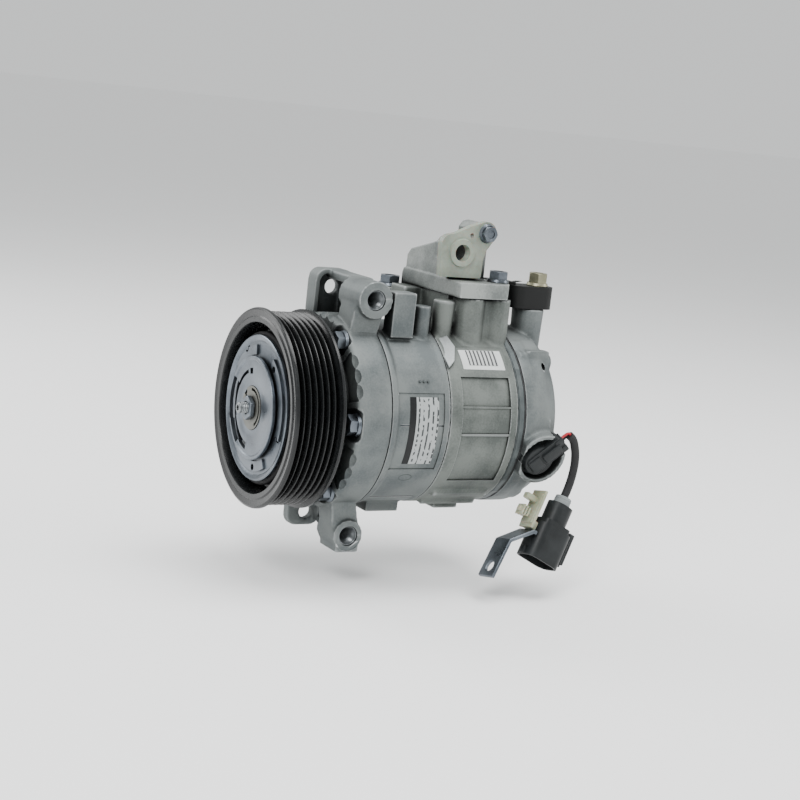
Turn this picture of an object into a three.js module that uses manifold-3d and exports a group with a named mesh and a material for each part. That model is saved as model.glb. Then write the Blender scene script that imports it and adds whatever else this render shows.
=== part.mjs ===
// Belt-driven, variable-displacement air-conditioning compressor with a damped clutchless pulley.
// Millimetres. The shaft runs along Y, the pulley faces -Y, +Z is up and +X is the side with the label.
import * as THREE from "three";
import { mergeVertices } from "three/addons/utils/BufferGeometryUtils.js";
import Module from "manifold-3d";

const wasm = await Module();
wasm.setup();

// ---- driving dimensions ----
const GAP = 0.3; // between pieces that touch
const CLEAR = 0.4; // between a turning or sliding piece and what holds it
const CUT = 1; // how far a cutter runs past the face it cuts
const ROUND = 28; // sides of a large turned piece
const SMALL = 10; // sides of a small round hole or pin

// stations along the shaft, from the front face of the pulley
const NOSE_END = -9;
const PULLEY_W = 29.5;
const FRONT_FACE = 31;
const FRONT_FLOOR = 40; // floor of the front housing's cavity
const PART_AB = 58; // front housing to crankcase
const PART_BC = 95; // crankcase to cylinder block
const BLOCK_END = 138.9;
const REED_T = 0.5;
const VALVE_PLATE_T = 3;
const GASKET_T = 0.6;
const HEAD_END = 170;
const EARS_Y = 52; // middle of the two bolt axes of the mounting ears

// radii
const R_PULLEY = 55;
const GROOVES = 7;
const GROOVE_PITCH = 3.56;
const GROOVE_DEPTH = 2.7;
const CREST = 1;
const R_FRONT = 54;
const R_BODY = 52;
const R_CAVITY = 48.3;
const R_SHAFT = 7.5;

// through bolts
const BOLTS = 6;
const R_BOLTS = 47.4;
const BOLT_TURN = Math.PI / 180; // the first bolt sits one degree above +X
const BOLT_SEAT = 39.6;
const BOLT_HOLE_R = 3.6;

// swash plate and pistons
const PISTONS = 6;
const R_PISTONS = 32.5;
const PISTON_R = 14.7;
const BORE_R = 15;
const SWASH_Y = 84;
const SWASH_T = 7;
const SWASH_R = 38.5;
const SLOT = 18.5;

// mounting ears, crosswise bolts
const EAR_NEAR = 30.2;
const EAR_FAR = -30.2;
const TOP_EAR = [53, 65.7];
const LOW_EAR = [51, -65.4];
const EAR_HOLE_R = 4.3;
const BUSH_R = 5.5;
const BUSH_L = 20.2;

// control valve, square to the shaft in the rear head
const VALVE_TURN = (-18 * Math.PI) / 180;
const VALVE_Y = 157;
const VALVE_R = 9;
const PLUG_TURN = Math.PI / 4; // the plug's tail points up and to the rear

// rear port
const REAR_PORT_TOP = 63.4;
const REAR_BOLT = [10, 168];

// manifold
const FLANGE_LOW = 69.3;
const FLANGE_TOP = 78;
// x, y, height of the seat and width across the flats
const MANIFOLD_BOLTS = [[-44, 100.5, 66, 11], [-44, 124, 78, 10], [17, 136.5, 78, 10]];

// ---- solids ----
function toSolid(geometry) {
  const plain = geometry.index ? geometry.toNonIndexed() : geometry.clone();
  plain.deleteAttribute("normal");
  plain.deleteAttribute("uv");
  const merged = mergeVertices(plain, 1e-4);
  return new wasm.Manifold(
    new wasm.Mesh({
      numProp: 3,
      vertProperties: merged.attributes.position.array,
      triVerts: new Uint32Array(merged.index.array),
    }),
  );
}

function toGeometry(solid) {
  const mesh = solid.getMesh();
  const geometry = new THREE.BufferGeometry();
  geometry.setAttribute("position", new THREE.BufferAttribute(mesh.vertProperties, 3));
  geometry.setIndex(new THREE.BufferAttribute(mesh.triVerts, 1));
  return geometry;
}

const join = (first, ...rest) => rest.reduce((sum, piece) => sum.add(piece), first);
const cut = (first, ...rest) => rest.reduce((left, piece) => left.subtract(piece), first);

// A turned piece about the shaft axis. The profile is a list of [radius, y].
function turned(profile, sides = ROUND) {
  const ring = profile.map(([r, y]) => new THREE.Vector2(r, y));
  if (THREE.ShapeUtils.area(ring) < 0) ring.reverse();
  ring.push(ring[0].clone());
  const start = ring.findIndex((p, i) => i < ring.length - 1 && p.x === 0 && ring[i + 1].x === 0);
  if (start < 0) return toSolid(new THREE.LatheGeometry(ring, sides));
  const open = ring.slice(0, -1);
  const path = [...open.slice(start + 1), ...open.slice(0, start + 1)];
  return toSolid(new THREE.LatheGeometry(path, sides));
}

function box(x, y, z) {
  const size = [x, y, z].map(([low, high]) => high - low);
  const mid = [x, y, z].map(([low, high]) => (low + high) / 2);
  return toSolid(new THREE.BoxGeometry(...size).translate(...mid));
}

const ALONG = {
  x: (g) => g.rotateZ(-Math.PI / 2),
  y: (g) => g,
  z: (g) => g.rotateX(Math.PI / 2),
};

// A round bar along one axis from low to high, through the point given by the other two coordinates.
function bar(axis, r, low, high, a, b, sides = SMALL, rEnd = r) {
  const g = ALONG[axis](new THREE.CylinderGeometry(rEnd, r, high - low, sides));
  const mid = (low + high) / 2;
  const at = { x: [mid, a, b], y: [a, mid, b], z: [a, b, mid] }[axis];
  return toSolid(g.translate(...at));
}

// A flat outline in the plane square to an axis: [y, z] for x, [x, z] for y, [x, y] for z.
function slab(axis, outline, low, high) {
  const drawn = outline instanceof THREE.Shape;
  const shape = drawn ? outline : new THREE.Shape(outline.map((p) => new THREE.Vector2(...p)));
  const g = new THREE.ExtrudeGeometry(shape, { depth: high - low, bevelEnabled: false, curveSegments: 3 });
  g.translate(0, 0, low);
  if (axis === "x") g.applyMatrix4(new THREE.Matrix4().set(0, 0, 1, 0, 1, 0, 0, 0, 0, 1, 0, 0, 0, 0, 0, 1));
  if (axis === "y") g.applyMatrix4(new THREE.Matrix4().set(1, 0, 0, 0, 0, 0, 1, 0, 0, 1, 0, 0, 0, 0, 0, 1));
  return toSolid(axis === "y" ? turnFaces(g) : g);
}

// The map onto the XZ plane mirrors the outline, so its faces are turned round.
function turnFaces(geometry) {
  const p = geometry.getAttribute("position");
  for (let i = 0; i < p.count; i += 3) {
    const second = [p.getX(i + 1), p.getY(i + 1), p.getZ(i + 1)];
    p.setXYZ(i + 1, p.getX(i + 2), p.getY(i + 2), p.getZ(i + 2));
    p.setXYZ(i + 2, ...second);
  }
  return geometry;
}

function hexBar(axis, acrossFlats, low, high, a, b) {
  return bar(axis, acrossFlats / Math.sqrt(3), low, high, a, b, 6);
}

function roundRect(x0, y0, x1, y1, r) {
  const s = new THREE.Shape();
  s.moveTo(x0 + r, y0).lineTo(x1 - r, y0).absarc(x1 - r, y0 + r, r, -Math.PI / 2, 0);
  s.lineTo(x1, y1 - r).absarc(x1 - r, y1 - r, r, 0, Math.PI / 2);
  s.lineTo(x0 + r, y1).absarc(x0 + r, y1 - r, r, Math.PI / 2, Math.PI);
  s.lineTo(x0, y0 + r).absarc(x0 + r, y0 + r, r, Math.PI, 1.5 * Math.PI);
  return s;
}

const around = (count, r, turn) =>
  Array.from({ length: count }, (_, i) => {
    const a = turn + (i * 2 * Math.PI) / count;
    return [r * Math.cos(a), r * Math.sin(a), a];
  });
const BOLT_SPOTS = around(BOLTS, R_BOLTS, BOLT_TURN);
const PISTON_SPOTS = around(PISTONS, R_PISTONS, BOLT_TURN + Math.PI / BOLTS);

function boltBosses(r, low, high) {
  return BOLT_SPOTS.map(([x, z]) => bar("y", r, low, high, x, z, 8));
}

// ---- the group and its meshes ----
const compressor = new THREE.Group();
compressor.position.set(0, -EARS_Y, 0);

function add(name, solid, color, roughness, metalness, parent = compressor) {
  const material = new THREE.MeshStandardMaterial({ color, roughness, metalness });
  const mesh = new THREE.Mesh(toGeometry(solid), material);
  mesh.name = name;
  parent.add(mesh);
  return mesh;
}
const CAST = [0xb4b7ba, 0.55, 0.7];
const STEEL = [0xa8abad, 0.35, 0.95];
const ZINC = [0xb9bfc8, 0.4, 0.9];
const BLACK = [0x1b1c1e, 0.5, 0];

// ---- housings ----
function frontHousing() {
  const shell = turned([
    [9, 9], [17.3, 9], [17.3, FRONT_FACE], [24, FRONT_FACE], [46, 36], [R_FRONT - 1.5, 37],
    [R_FRONT, 39], [R_FRONT, 55], [R_FRONT - 1, PART_AB - GAP / 2], [R_CAVITY, PART_AB - GAP / 2],
    [R_CAVITY, 44], [45, FRONT_FLOOR], [12.8, FRONT_FLOOR], [12.8, 25], [9.2, 25], [9.2, 22], [13, 22], [13, 12], [9, 12],
  ]);
  // the ears stop at the cavity wall, so that the pistons pass behind them
  const cavity = bar("y", R_CAVITY - 0.1, FRONT_FLOOR + GAP, PART_AB + CUT, 0, 0, ROUND);
  const ears = [topEar(), lowEar()].map((ear) => cut(ear, cavity));
  let housing = join(shell, ...boltBosses(6.5, 39.2, PART_AB - 1), ...ears);
  for (const [x, z] of BOLT_SPOTS) {
    const pocket = bar("y", 9.3, FRONT_FACE - CUT, BOLT_SEAT, x * 1.02, z * 1.02, 10);
    housing = cut(housing, pocket, bar("y", BOLT_HOLE_R, 30, PART_AB + CUT, x, z, 6));
  }
  return cut(
    housing,
    bar("x", BUSH_R + GAP, 0, EAR_NEAR + CUT, ...TOP_EAR),
    bar("x", BUSH_R + GAP, 0, EAR_NEAR + CUT, ...LOW_EAR),
    bar("y", R_BODY + 1 + CLEAR, PART_AB - GAP / 2, PART_BC, 0, 0, ROUND),
  );
}

// The top ear: a boss on the near side, a rimmed plate on the far side and a ridge with a back web.
function topEar() {
  const [y, z] = TOP_EAR;
  const near = bar("x", 10.4, 4, EAR_NEAR, y, z, 16);
  const neck = slab("x", [[y - 9.5, z], [y + 9.5, z], [y + 4, 44], [y - 13, 44]], 8, 26);
  const rim = cut(
    slab("x", roundRect(y - 13, 46, y + 11, z + 10.5, 6), EAR_FAR, EAR_FAR + 11),
    slab("x", roundRect(y - 10, 43.3, y + 8.6, z + 7.5, 4), EAR_FAR + 5.5, EAR_FAR + 11 + CUT),
  );
  const ridge = box([EAR_FAR + 3, 10], [y - 4, y + 8], [z + 5, z + 9.8]);
  const web = box([EAR_FAR + 3, 12], [y + 5, y + 8.6], [50, z + 8]);
  const hole = bar("x", EAR_HOLE_R, EAR_FAR - CUT, EAR_FAR + 12, y, z);
  return cut(join(near, neck, rim, ridge, web), hole);
}

// The bottom ear has the same layout, with a tapered web that has a window in it.
function lowEar() {
  const [y, z] = LOW_EAR;
  const near = bar("x", 9, 8, EAR_NEAR, y, z, 14);
  const foot = box([10, EAR_NEAR], [y - 7, y + 7], [z - 9.4, z]);
  const neck = slab("x", [[y - 8.5, z], [y - 11, -44], [y + 4, -44], [y + 8.5, z]], 10, 27);
  const plate = slab("x", roundRect(y - 12, z - 8, y + 9, -44, 6), EAR_FAR, EAR_FAR + 6);
  const web = slab("y", [[EAR_FAR + 1, -46], [EAR_FAR + 1, z - 4], [20, z - 9], [20, -46]], y + 4.8, y + 8.2);
  const opening = box([-19, 3], [y - 9, y + 9], [z - 1.5, z + 8]);
  const hole = bar("x", EAR_HOLE_R, EAR_FAR - CUT, EAR_FAR + 8, y, z);
  return cut(join(near, foot, neck, plate, web), opening, hole);
}

function crankcase() {
  const low = PART_AB + GAP / 2;
  const high = PART_BC - GAP / 2;
  const shell = turned([
    [R_CAVITY, low], [R_BODY + 1, low], [R_BODY + 1, low + 3], [R_BODY - 0.6, low + 5],
    [R_BODY - 0.6, high - 3], [R_BODY, high - 1.5], [R_BODY, high], [R_CAVITY, high],
  ]);
  const feet = box([-8, 8], [72, 93], [-57.5, -49.5]);
  const holes = boltBosses(BOLT_HOLE_R, low - CUT, high + CUT);
  const cavity = bar("y", R_CAVITY - 0.4, low - CUT, high + CUT, 0, 0, ROUND);
  const inside = bar("y", R_BODY - 1, low, high, 0, 0, ROUND);
  const bosses = boltBosses(5.6, low + 0.5, high - 0.5).map((b) => b.intersect(inside));
  const lug = box([18, 28.5], [65, 79], [45, 70.5]);
  return cut(join(cut(join(shell, feet, lug), cavity), ...bosses), ...holes);
}

function cylinderBlock() {
  const low = PART_BC + GAP / 2;
  let block = turned([
    [9.2, low], [R_BODY, low], [R_BODY, BLOCK_END], [12.8, BLOCK_END], [12.8, 118], [9.2, 118],
  ]);
  const ports = join(
    bar("z", 9.2, 30, FLANGE_LOW - GAP, 20.5, 117, 16),
    bar("z", 7.8, 30, FLANGE_LOW - GAP, 21, 135, 16),
    box([-34, -16], [100, 136], [30, 60]),
    box([-49, -16], [95.5, 136], [50, FLANGE_LOW - GAP]),
    box([-20, 14], [107, 136.5], [44, FLANGE_LOW - GAP]),
  );
  const feet = box([-7, 7], [117, 133], [-56.5, -48]);
  block = join(block, ports, feet);
  const bores = PISTON_SPOTS.map(([x, z]) => bar("y", BORE_R, low - CUT, BLOCK_END + CUT, x, z, 20));
  block = cut(block, ...bores);
  const boltHoles = MANIFOLD_BOLTS.map(([x, y]) => bar("z", 3.5, 50, FLANGE_LOW, x, y));
  const earRoom = box([-53, -33.4], [90, 112.6], [59.2, 72]);
  block = cut(block, earRoom, bar("y", R_BODY + CLEAR, BLOCK_END, HEAD_END, 0, 0, ROUND));
  return cut(block, ...boltHoles, ...boltBosses(BOLT_HOLE_R, low - CUT, BLOCK_END + CUT));
}

// A thin plate of the valve stack, with one suction and one discharge hole for each cylinder.
function stackPlate(y, t, suctionR, dischargeR) {
  let plate = turned([[0, y], [R_BODY - 0.4, y], [R_BODY - 0.4, y + t], [0, y + t]]);
  const boltHoles = BOLT_SPOTS.map(([x, z]) => bar("y", BOLT_HOLE_R, y - CUT, y + t + CUT, x, z, 6));
  plate = cut(plate, ...boltHoles);
  for (const [x, z] of PISTON_SPOTS) {
    const outer = (R_PISTONS + 5) / R_PISTONS;
    const inner = (R_PISTONS - 7.5) / R_PISTONS;
    plate = cut(plate, bar("y", suctionR, y - CUT, y + t + CUT, x * outer, z * outer, 5));
    plate = cut(plate, bar("y", dischargeR, y - CUT, y + t + CUT, x * inner, z * inner, 5));
  }
  return plate;
}
const REED_Y = BLOCK_END + GAP;
const PLATE_Y = REED_Y + REED_T + GAP;
const GASKET_Y = PLATE_Y + VALVE_PLATE_T + GAP;
const HEAD_Y = GASKET_Y + GASKET_T + GAP;

// A round bar that points away from the shaft along the control valve's line.
function valveBar(r, low, high, sides = 24) {
  const g = new THREE.CylinderGeometry(r, r, high - low, sides).rotateZ(-Math.PI / 2);
  g.translate((low + high) / 2, 0, 0).rotateY(-VALVE_TURN).translate(0, VALVE_Y, 0);
  return toSolid(g);
}

// A box in the control valve's frame: x away from the shaft, y to the rear.
function valveBox([x0, x1], [y0, y1], [z0, z1]) {
  const g = new THREE.BoxGeometry(x1 - x0, y1 - y0, z1 - z0);
  g.translate((x0 + x1) / 2, (y0 + y1) / 2, (z0 + z1) / 2);
  g.rotateX(PLUG_TURN).rotateY(-VALVE_TURN).translate(0, VALVE_Y, 0);
  return toSolid(g);
}

function rearHousing() {
  const cup = turned([
    [0, HEAD_END], [36, HEAD_END], [47, HEAD_END - 3], [R_BODY, HEAD_END - 12], [R_BODY, HEAD_Y],
    [46.5, HEAD_Y], [43.5, HEAD_Y + 14], [29, HEAD_Y + 14], [29, HEAD_Y],
    [25.5, HEAD_Y], [24, HEAD_Y + 12], [0, HEAD_Y + 12],
  ]);
  const inside = bar("y", R_BODY, HEAD_Y, HEAD_END, 0, 0, ROUND);
  const bosses = boltBosses(6.5, HEAD_Y, HEAD_END - 9).map((b) => b.intersect(inside));
  const port = bar("z", 8.2, 30, REAR_PORT_TOP, 10, 163.6, 20, 9.4);
  const head = join(cup, ...bosses, valveBar(13, 10, 50), valveBar(15.5, 34, 56), port);
  return cut(
    head,
    valveBar(VALVE_R + GAP, 6, 49),
    valveBar(13, 44, 60),
    valveBox([48, 64], [-5, 20], [-7, 7]),
    bar("z", 3.4, 50, 66, ...REAR_BOLT),
    bar("y", R_FRONT + 20, PART_BC, HEAD_Y, 0, 0),
    ...boltBosses(BOLT_HOLE_R, HEAD_Y - CUT, HEAD_END - 12),
  );
}

add("front_housing", frontHousing(), ...CAST);
add("crankcase_housing", crankcase(), ...CAST);
add("cylinder_block", cylinderBlock(), ...CAST);
add("suction_reed_plate", stackPlate(REED_Y, REED_T, 1.6, 3.2), 0x9aa0a6, 0.3, 0.95);
add("valve_plate", stackPlate(PLATE_Y, VALVE_PLATE_T, 3.2, 2.4), ...STEEL);
add("head_gasket", stackPlate(GASKET_Y, GASKET_T, 4, 3.4), 0x4a4d50, 0.6, 0.4);
add("rear_housing", rearHousing(), ...CAST);

// ---- through bolts ----
BOLT_SPOTS.forEach(([x, z], i) => {
  const bolt = join(
    hexBar("y", 10, BOLT_SEAT - 6.3, BOLT_SEAT - GAP, x, z),
    bar("y", 6.6, BOLT_SEAT - 1.8, BOLT_SEAT - GAP, x, z, 8),
    bar("y", 3, BOLT_SEAT - 1, HEAD_END - 14, x, z, 6),
  );
  add("through_bolt_" + (i + 1), bolt, ...STEEL);
});

// ---- steel bushes in the near ears ----
function earBush([y, z]) {
  const sleeve = bar("x", BUSH_R, EAR_NEAR - BUSH_L, EAR_NEAR - 0.6, y, z);
  return cut(sleeve, bar("x", EAR_HOLE_R, 0, EAR_NEAR + CUT, y, z));
}
add("top_ear_bush", earBush(TOP_EAR), ...STEEL);
add("low_ear_bush", earBush(LOW_EAR), ...STEEL);

// ---- shaft, seal and bearings ----
const RING = R_SHAFT + CLEAR;
const LUG_Y = 40.6;
const shaft = join(
  turned([[0, NOSE_END], [2.6, NOSE_END], [3.1, NOSE_END + 0.6], [3.1, 1.5], [0, 1.5]], 16),
  turned([[0, 1], [5.4, 1], [5.4, 8.8], [R_SHAFT, 9.6], [R_SHAFT, 134], [6.8, 135], [0, 135]], 20),
);
add("drive_shaft", cut(shaft, hexBar("y", 2.6, NOSE_END - CUT, NOSE_END + 4, 0, 0)), ...STEEL);
const lugPlate = join(
  turned([
    [R_SHAFT + GAP, LUG_Y], [33, LUG_Y], [33, 46], [31.5, 47], [12, 47], [12, 52], [R_SHAFT + GAP, 52],
  ]),
  ...[-1, 1].flatMap((side) => [
    box([-7.5, -3], [46, 55], [side * 18.8 - 3.7, side * 18.8 + 3.7]),
    box([3, 7.5], [46, 55], [side * 18.8 - 3.7, side * 18.8 + 3.7]),
  ]),
);
add("lug_plate", lugPlate, ...STEEL);
add("shaft_seal", turned([[RING, 12.3], [12.7, 12.3], [12.7, 21.7], [RING, 21.7]], 20), 0x2b2b2d, 0.6, 0);
add("front_shaft_bearing", turned([[RING, 25.3], [12.5, 25.3], [12.5, 38.5], [RING, 38.5]], 20), ...STEEL);
add("rear_shaft_bearing", turned([[RING, 118.3], [12.5, 118.3], [12.5, 134], [RING, 134]], 20), ...STEEL);

// ---- pulley, damper and hub ----
function pulleyProfile() {
  const crestR = R_PULLEY - 1.8;
  const rootR = crestR - GROOVE_DEPTH;
  const land = (PULLEY_W - GROOVES * GROOVE_PITCH) / 2;
  const profile = [[49, 0], [R_PULLEY, 0], [R_PULLEY, land]];
  for (let i = 0; i < GROOVES; i += 1) {
    const start = land + i * GROOVE_PITCH;
    const mid = start + GROOVE_PITCH / 2;
    profile.push([crestR, start + CREST / 2], [rootR, mid], [crestR, start + GROOVE_PITCH - CREST / 2]);
  }
  profile.push([R_PULLEY, PULLEY_W - land], [R_PULLEY, PULLEY_W], [47, PULLEY_W]);
  profile.push([46, 24], [31, 24], [31, 28], [27.4, 28], [27.4, 9]);
  profile.push([31, 9], [31, 15], [42.5, 15], [43.5, 5], [46.5, 4]);
  return profile;
}
add("pulley", turned(pulleyProfile(), 30), 0x141517, 0.35, 0);
add("damper_ring", turned([[32, 3.6], [42, 3.6], [42, 14.7], [32, 14.7]]), 0x0e0e0f, 0.8, 0);
const rivets = around(6, 32, Math.PI / 12).map(([x, z]) => bar("y", 2, 0, 5, x, z, 6));
const hubPlate = turned([[24, 1.8], [28.9, 1.8], [29.9, 1.2], [40, 1.2], [40, 3.2], [24, 3.2]]);
add("hub_plate", cut(hubPlate, ...rivets), ...ZINC);
function crescent(i) {
  const s = new THREE.Shape();
  const mid = (i * 2 * Math.PI) / 3 + Math.PI;
  s.absarc(0, 0, 22, mid - 0.6, mid + 0.6).absarc(0, 0, 18, mid + 0.6, mid - 0.6, true);
  return slab("y", s, -3, 3);
}
const innerPlate = turned([
  [12.3, -0.6], [16, -0.6], [17, -0.9], [25.5, -0.9], [26.5, -1.6],
  [28.5, -1.6], [28.5, 0.2], [26.8, 1.1], [12.3, 1.1],
], 24);
add("inner_plate", cut(innerPlate, ...[0, 1, 2].map(crescent)), 0xa9aaa6, 0.45, 0.8);
const hub = turned([[5.7, 0.7], [3.4, 0.7], [3.4, -1.1], [12, -1.1], [12, 8.5], [5.7, 8.5]], 20);
const spider = cut(
  turned([[11.8, 1.6], [23.4, 1.6], [23.4, 4], [11.8, 4]], 20),
  ...around(3, 17.5, 0).map(([x, z]) => bar("y", 3.2, 0, 5, x, z, 6)),
);
add("hub", join(hub, spider), ...STEEL);
add("shaft_nut", cut(hexBar("y", 12, -4.4, -1.4, 0, 0), bar("y", 3.4, -6, 0, 0, 0, 16)), ...STEEL);

// pulley bearing: two rings and the ball row between them
const BALL_Y = 18;
const BALL_MID = 22.5;
const BALL_R = 2.5;
function groovedRing(inner, outer, grooveAt) {
  const grooveR = BALL_R + 2 * CLEAR;
  const ring = turned([[inner, 10], [outer, 10], [outer, 26], [inner, 26]], 20);
  const corners = around(6, grooveR, 0).map(([u, v]) => [grooveAt + u, BALL_Y + v]);
  return cut(ring, turned(corners, 20));
}
add("bearing_outer_ring", groovedRing(24.3, 27.1, BALL_MID), ...STEEL);
add("bearing_inner_ring", groovedRing(17.6, 20.7, BALL_MID), ...STEEL);
const balls = around(7, BALL_MID, 0).map(([x, z]) =>
  toSolid(new THREE.SphereGeometry(BALL_R, 6, 3).rotateZ(Math.PI / 2).translate(x, BALL_Y, z)),
);
const cage = turned([[21.5, 15.5], [23.5, 15.5], [23.5, 20.5], [21.5, 20.5]], 14);
add("ball_cage", join(cage, ...balls), 0x8d7a4a, 0.5, 0.3);
const snapRing = turned([[17.6, 26.3], [20.5, 26.3], [20.5, 27.6], [17.6, 27.6]], 24);
add("bearing_snap_ring", snapRing, 0x3a3b3d, 0.4, 0.8);

// ---- swash plate and pistons ----
const swash = cut(
  turned([
    [0, SWASH_Y - 5.5], [14.5, SWASH_Y - 5.5], [16, SWASH_Y - SWASH_T / 2], [SWASH_R, SWASH_Y - SWASH_T / 2],
    [SWASH_R, SWASH_Y + SWASH_T / 2], [16, SWASH_Y + SWASH_T / 2], [14.5, SWASH_Y + 5.5], [0, SWASH_Y + 5.5],
  ]),
  bar("y", 12, SWASH_Y - 10, SWASH_Y + 10, 0, 0, 24),
);
add("swash_plate", swash, 0x8f8a80, 0.4, 0.85);

function piston(x, z, angle) {
  const nose = SWASH_Y - SLOT / 2;
  const body = bar("y", PISTON_R, nose - 4.5, BLOCK_END - GAP, 0, 0, 16);
  const slot = box([-20, 7.5], [nose, nose + SLOT], [-20, 20]);
  const innerNose = box([-20, -7], [nose - 6, nose + CUT], [-20, 20]);
  const ringY = BLOCK_END - 6;
  const ringEnd = ringY + 1.5;
  const groove = turned([
    [PISTON_R - 1, ringY], [PISTON_R + 1, ringY], [PISTON_R + 1, ringEnd], [PISTON_R - 1, ringEnd],
  ], 16);
  const geometry = toGeometry(cut(body, slot, innerNose, groove));
  return toSolid(geometry.rotateY(-angle).translate(x, 0, z));
}
PISTON_SPOTS.forEach(([x, z, angle], i) => {
  add("piston_" + (i + 1), piston(x, z, angle), 0xb9b6ae, 0.35, 0.8);
});

// ---- control valve, its plug and the lead ----
const plungerHole = valveBar(3.6, 4, 30, 12);
const valveBody = cut(join(valveBar(VALVE_R, 8, 42), valveBar(6.5, 41, 47, 16)), plungerHole);
add("control_valve_body", valveBody, 0x9c9fa3, 0.35, 0.9);
add("control_valve_plunger", valveBar(3.2, 10, 29, 12), ...STEEL);

const valveFrame = new THREE.Group();
valveFrame.position.set(0, VALVE_Y, 0);
valveFrame.rotation.set(PLUG_TURN, -VALVE_TURN, 0, "YXZ");
compressor.add(valveFrame);
const TAIL_END = 15.5;
const plugBody = join(
  bar("x", 10.5, 47.3, 51, 0, 0, 20),
  slab("x", roundRect(-9, -6, TAIL_END, 6, 2), 49, 57),
  box([56, 58.5], [2, 13], [-2.5, 2.5]),
);
add("valve_plug", plugBody, ...BLACK, valveFrame);

// The lead: from the plug's tail up, over and down to the cable collar, by hand-picked points.
const LEAD_R = 2.4;
const LEAD_ROUTE = [
  [53.9, 168.7, -5.9], [54.3, 171, -3.7], [54.2, 174.4, -3.8], [53.6, 177.6, -8.4],
  [52.8, 179.8, -16.4], [51.6, 180.5, -25], [51, 178.9, -33.4], [51.95, 176.2, -39.1],
];
const COLLAR_AT = new THREE.Vector3(52.1, 176, -39.5);
const MOUTH_WAY = new THREE.Vector3(0.2, -0.47, -0.86).normalize();
const route = new THREE.CatmullRomCurve3(LEAD_ROUTE.map((p) => new THREE.Vector3(...p)));
const section = new THREE.Shape().absarc(0, 0, LEAD_R, 0, 2 * Math.PI);
const LEAD_STEPS = 11;
const lead = new THREE.ExtrudeGeometry(new THREE.Shape(section.getPoints(8).slice(0, -1)), {
  steps: LEAD_STEPS,
  extrudePath: route,
});
add("pigtail_lead", toSolid(lead), ...BLACK);

// The connector's own frame: its mouth points along local -Z, its latch is on local +Y.
const plugFrame = new THREE.Group();
plugFrame.position.copy(COLLAR_AT);
plugFrame.quaternion.setFromUnitVectors(new THREE.Vector3(0, 0, -1), MOUTH_WAY);
compressor.add(plugFrame);
const COLLAR_L = 5;
const BARREL_END = -20;
const SHROUD_END = -41;
const TONGUE_END = SHROUD_END + 12; // leaves an open mouth in front of the contacts
add("cable_collar", bar("z", 5, -COLLAR_L, 0, 0, 0, 16), 0x7d8082, 0.5, 0.2, plugFrame);
const connectorBody = cut(
  join(
    slab("z", roundRect(-6.5, -7.5, 6.5, 7.5, 3), BARREL_END, -COLLAR_L - GAP),
    slab("z", roundRect(-8.5, -11.5, 8.5, 11.5, 3), SHROUD_END, BARREL_END),
    box([-4, 4], [11, 15], [SHROUD_END + 5, BARREL_END + 3]),
  ),
  slab("z", roundRect(-6.8, -9.8, 6.8, 9.8, 2), SHROUD_END - CUT, BARREL_END - 3),
);
const tongue = slab("z", roundRect(-3.4, -6.2, 3.4, 6.2, 1.5), TONGUE_END, BARREL_END - 2);
add("lead_connector", join(connectorBody, tongue), ...BLACK, plugFrame);
const sealRing = cut(
  slab("z", roundRect(-5.6, -8.4, 5.6, 8.4, 2), BARREL_END - 9, BARREL_END - 3.3),
  slab("z", roundRect(-3.8, -6.6, 3.8, 6.6, 1.5), BARREL_END - 10, BARREL_END),
);
add("connector_seal", sealRing, 0xa33a2c, 0.6, 0, plugFrame);
const clip = join(
  box([-6, 6], [-17, -14.8], [-27, -4]),
  box([-4, 4], [-15.5, -11.8], [-27, -22]),
  box([-1.6, 1.6], [-26, -16], [-21, -18]),
  box([-3.4, 3.4], [-24.5, -22.5], [-22.6, -16.4]),
  box([-2.2, 2.2], [-25, -16], [-12.5, -9]),
);
add("cable_clip", clip, 0xd6d6cc, 0.5, 0, plugFrame);
const bracket = slab("x", [
  [-11.8, -27.3], [-14.5, -27.3], [-27, -39.6], [-28.2, -63],
  [-26.4, -63.6], [-25.2, -40.6], [-13.6, -29.6], [-11.8, -29.6],
], -7, 7);
add("connector_bracket", bracket, ...ZINC, plugFrame);

// ---- manifold, port covers and their bolts ----
const COVER_X = 12; // the face that the nylon cover sits on
const PORT_AT = [110.5, 93.3];
const TAIL_AT = [125.8, 105];
const FLANGE_OUTLINE = [
  [-38, 104.9], [30.2, 104.9], [30.2, 136], [22, 141.5], [10, 136],
  [-48, 136], [-51, 128], [-51, 117], [-38, 115],
];
function manifold() {
  const flange = slab("z", FLANGE_OUTLINE, FLANGE_LOW, FLANGE_TOP);
  const upstand = slab("y", [[-36, 76], [-36, 86], [-32, 90], [0, 98.5], [12, 103], [12, 76]], 105.5, 130);
  const head = join(
    slab("x", roundRect(106.5, FLANGE_TOP - 2, 129, 102, 8), -6, COVER_X),
    bar("x", 5.8, -6, COVER_X, ...TAIL_AT),
  );
  const ear = slab("z", roundRect(-51, 94, -34, 112, 6), 59.5, 66);
  const block = join(flange, upstand, head, ear, box([-40, -34], [105.5, 112], [60, 76]));
  return cut(
    block,
    bar("x", 6.5, -2, COVER_X + CUT, ...PORT_AT, 16),
    bar("x", 3.2, -2, COVER_X + CUT, ...TAIL_AT),
    bar("z", 6, 60, 88, -8, 118, 12),
    ...MANIFOLD_BOLTS.map(([x, y]) => bar("z", 3.5, 56, 90, x, y)),
  );
}
add("manifold_block", manifold(), ...CAST);

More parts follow.
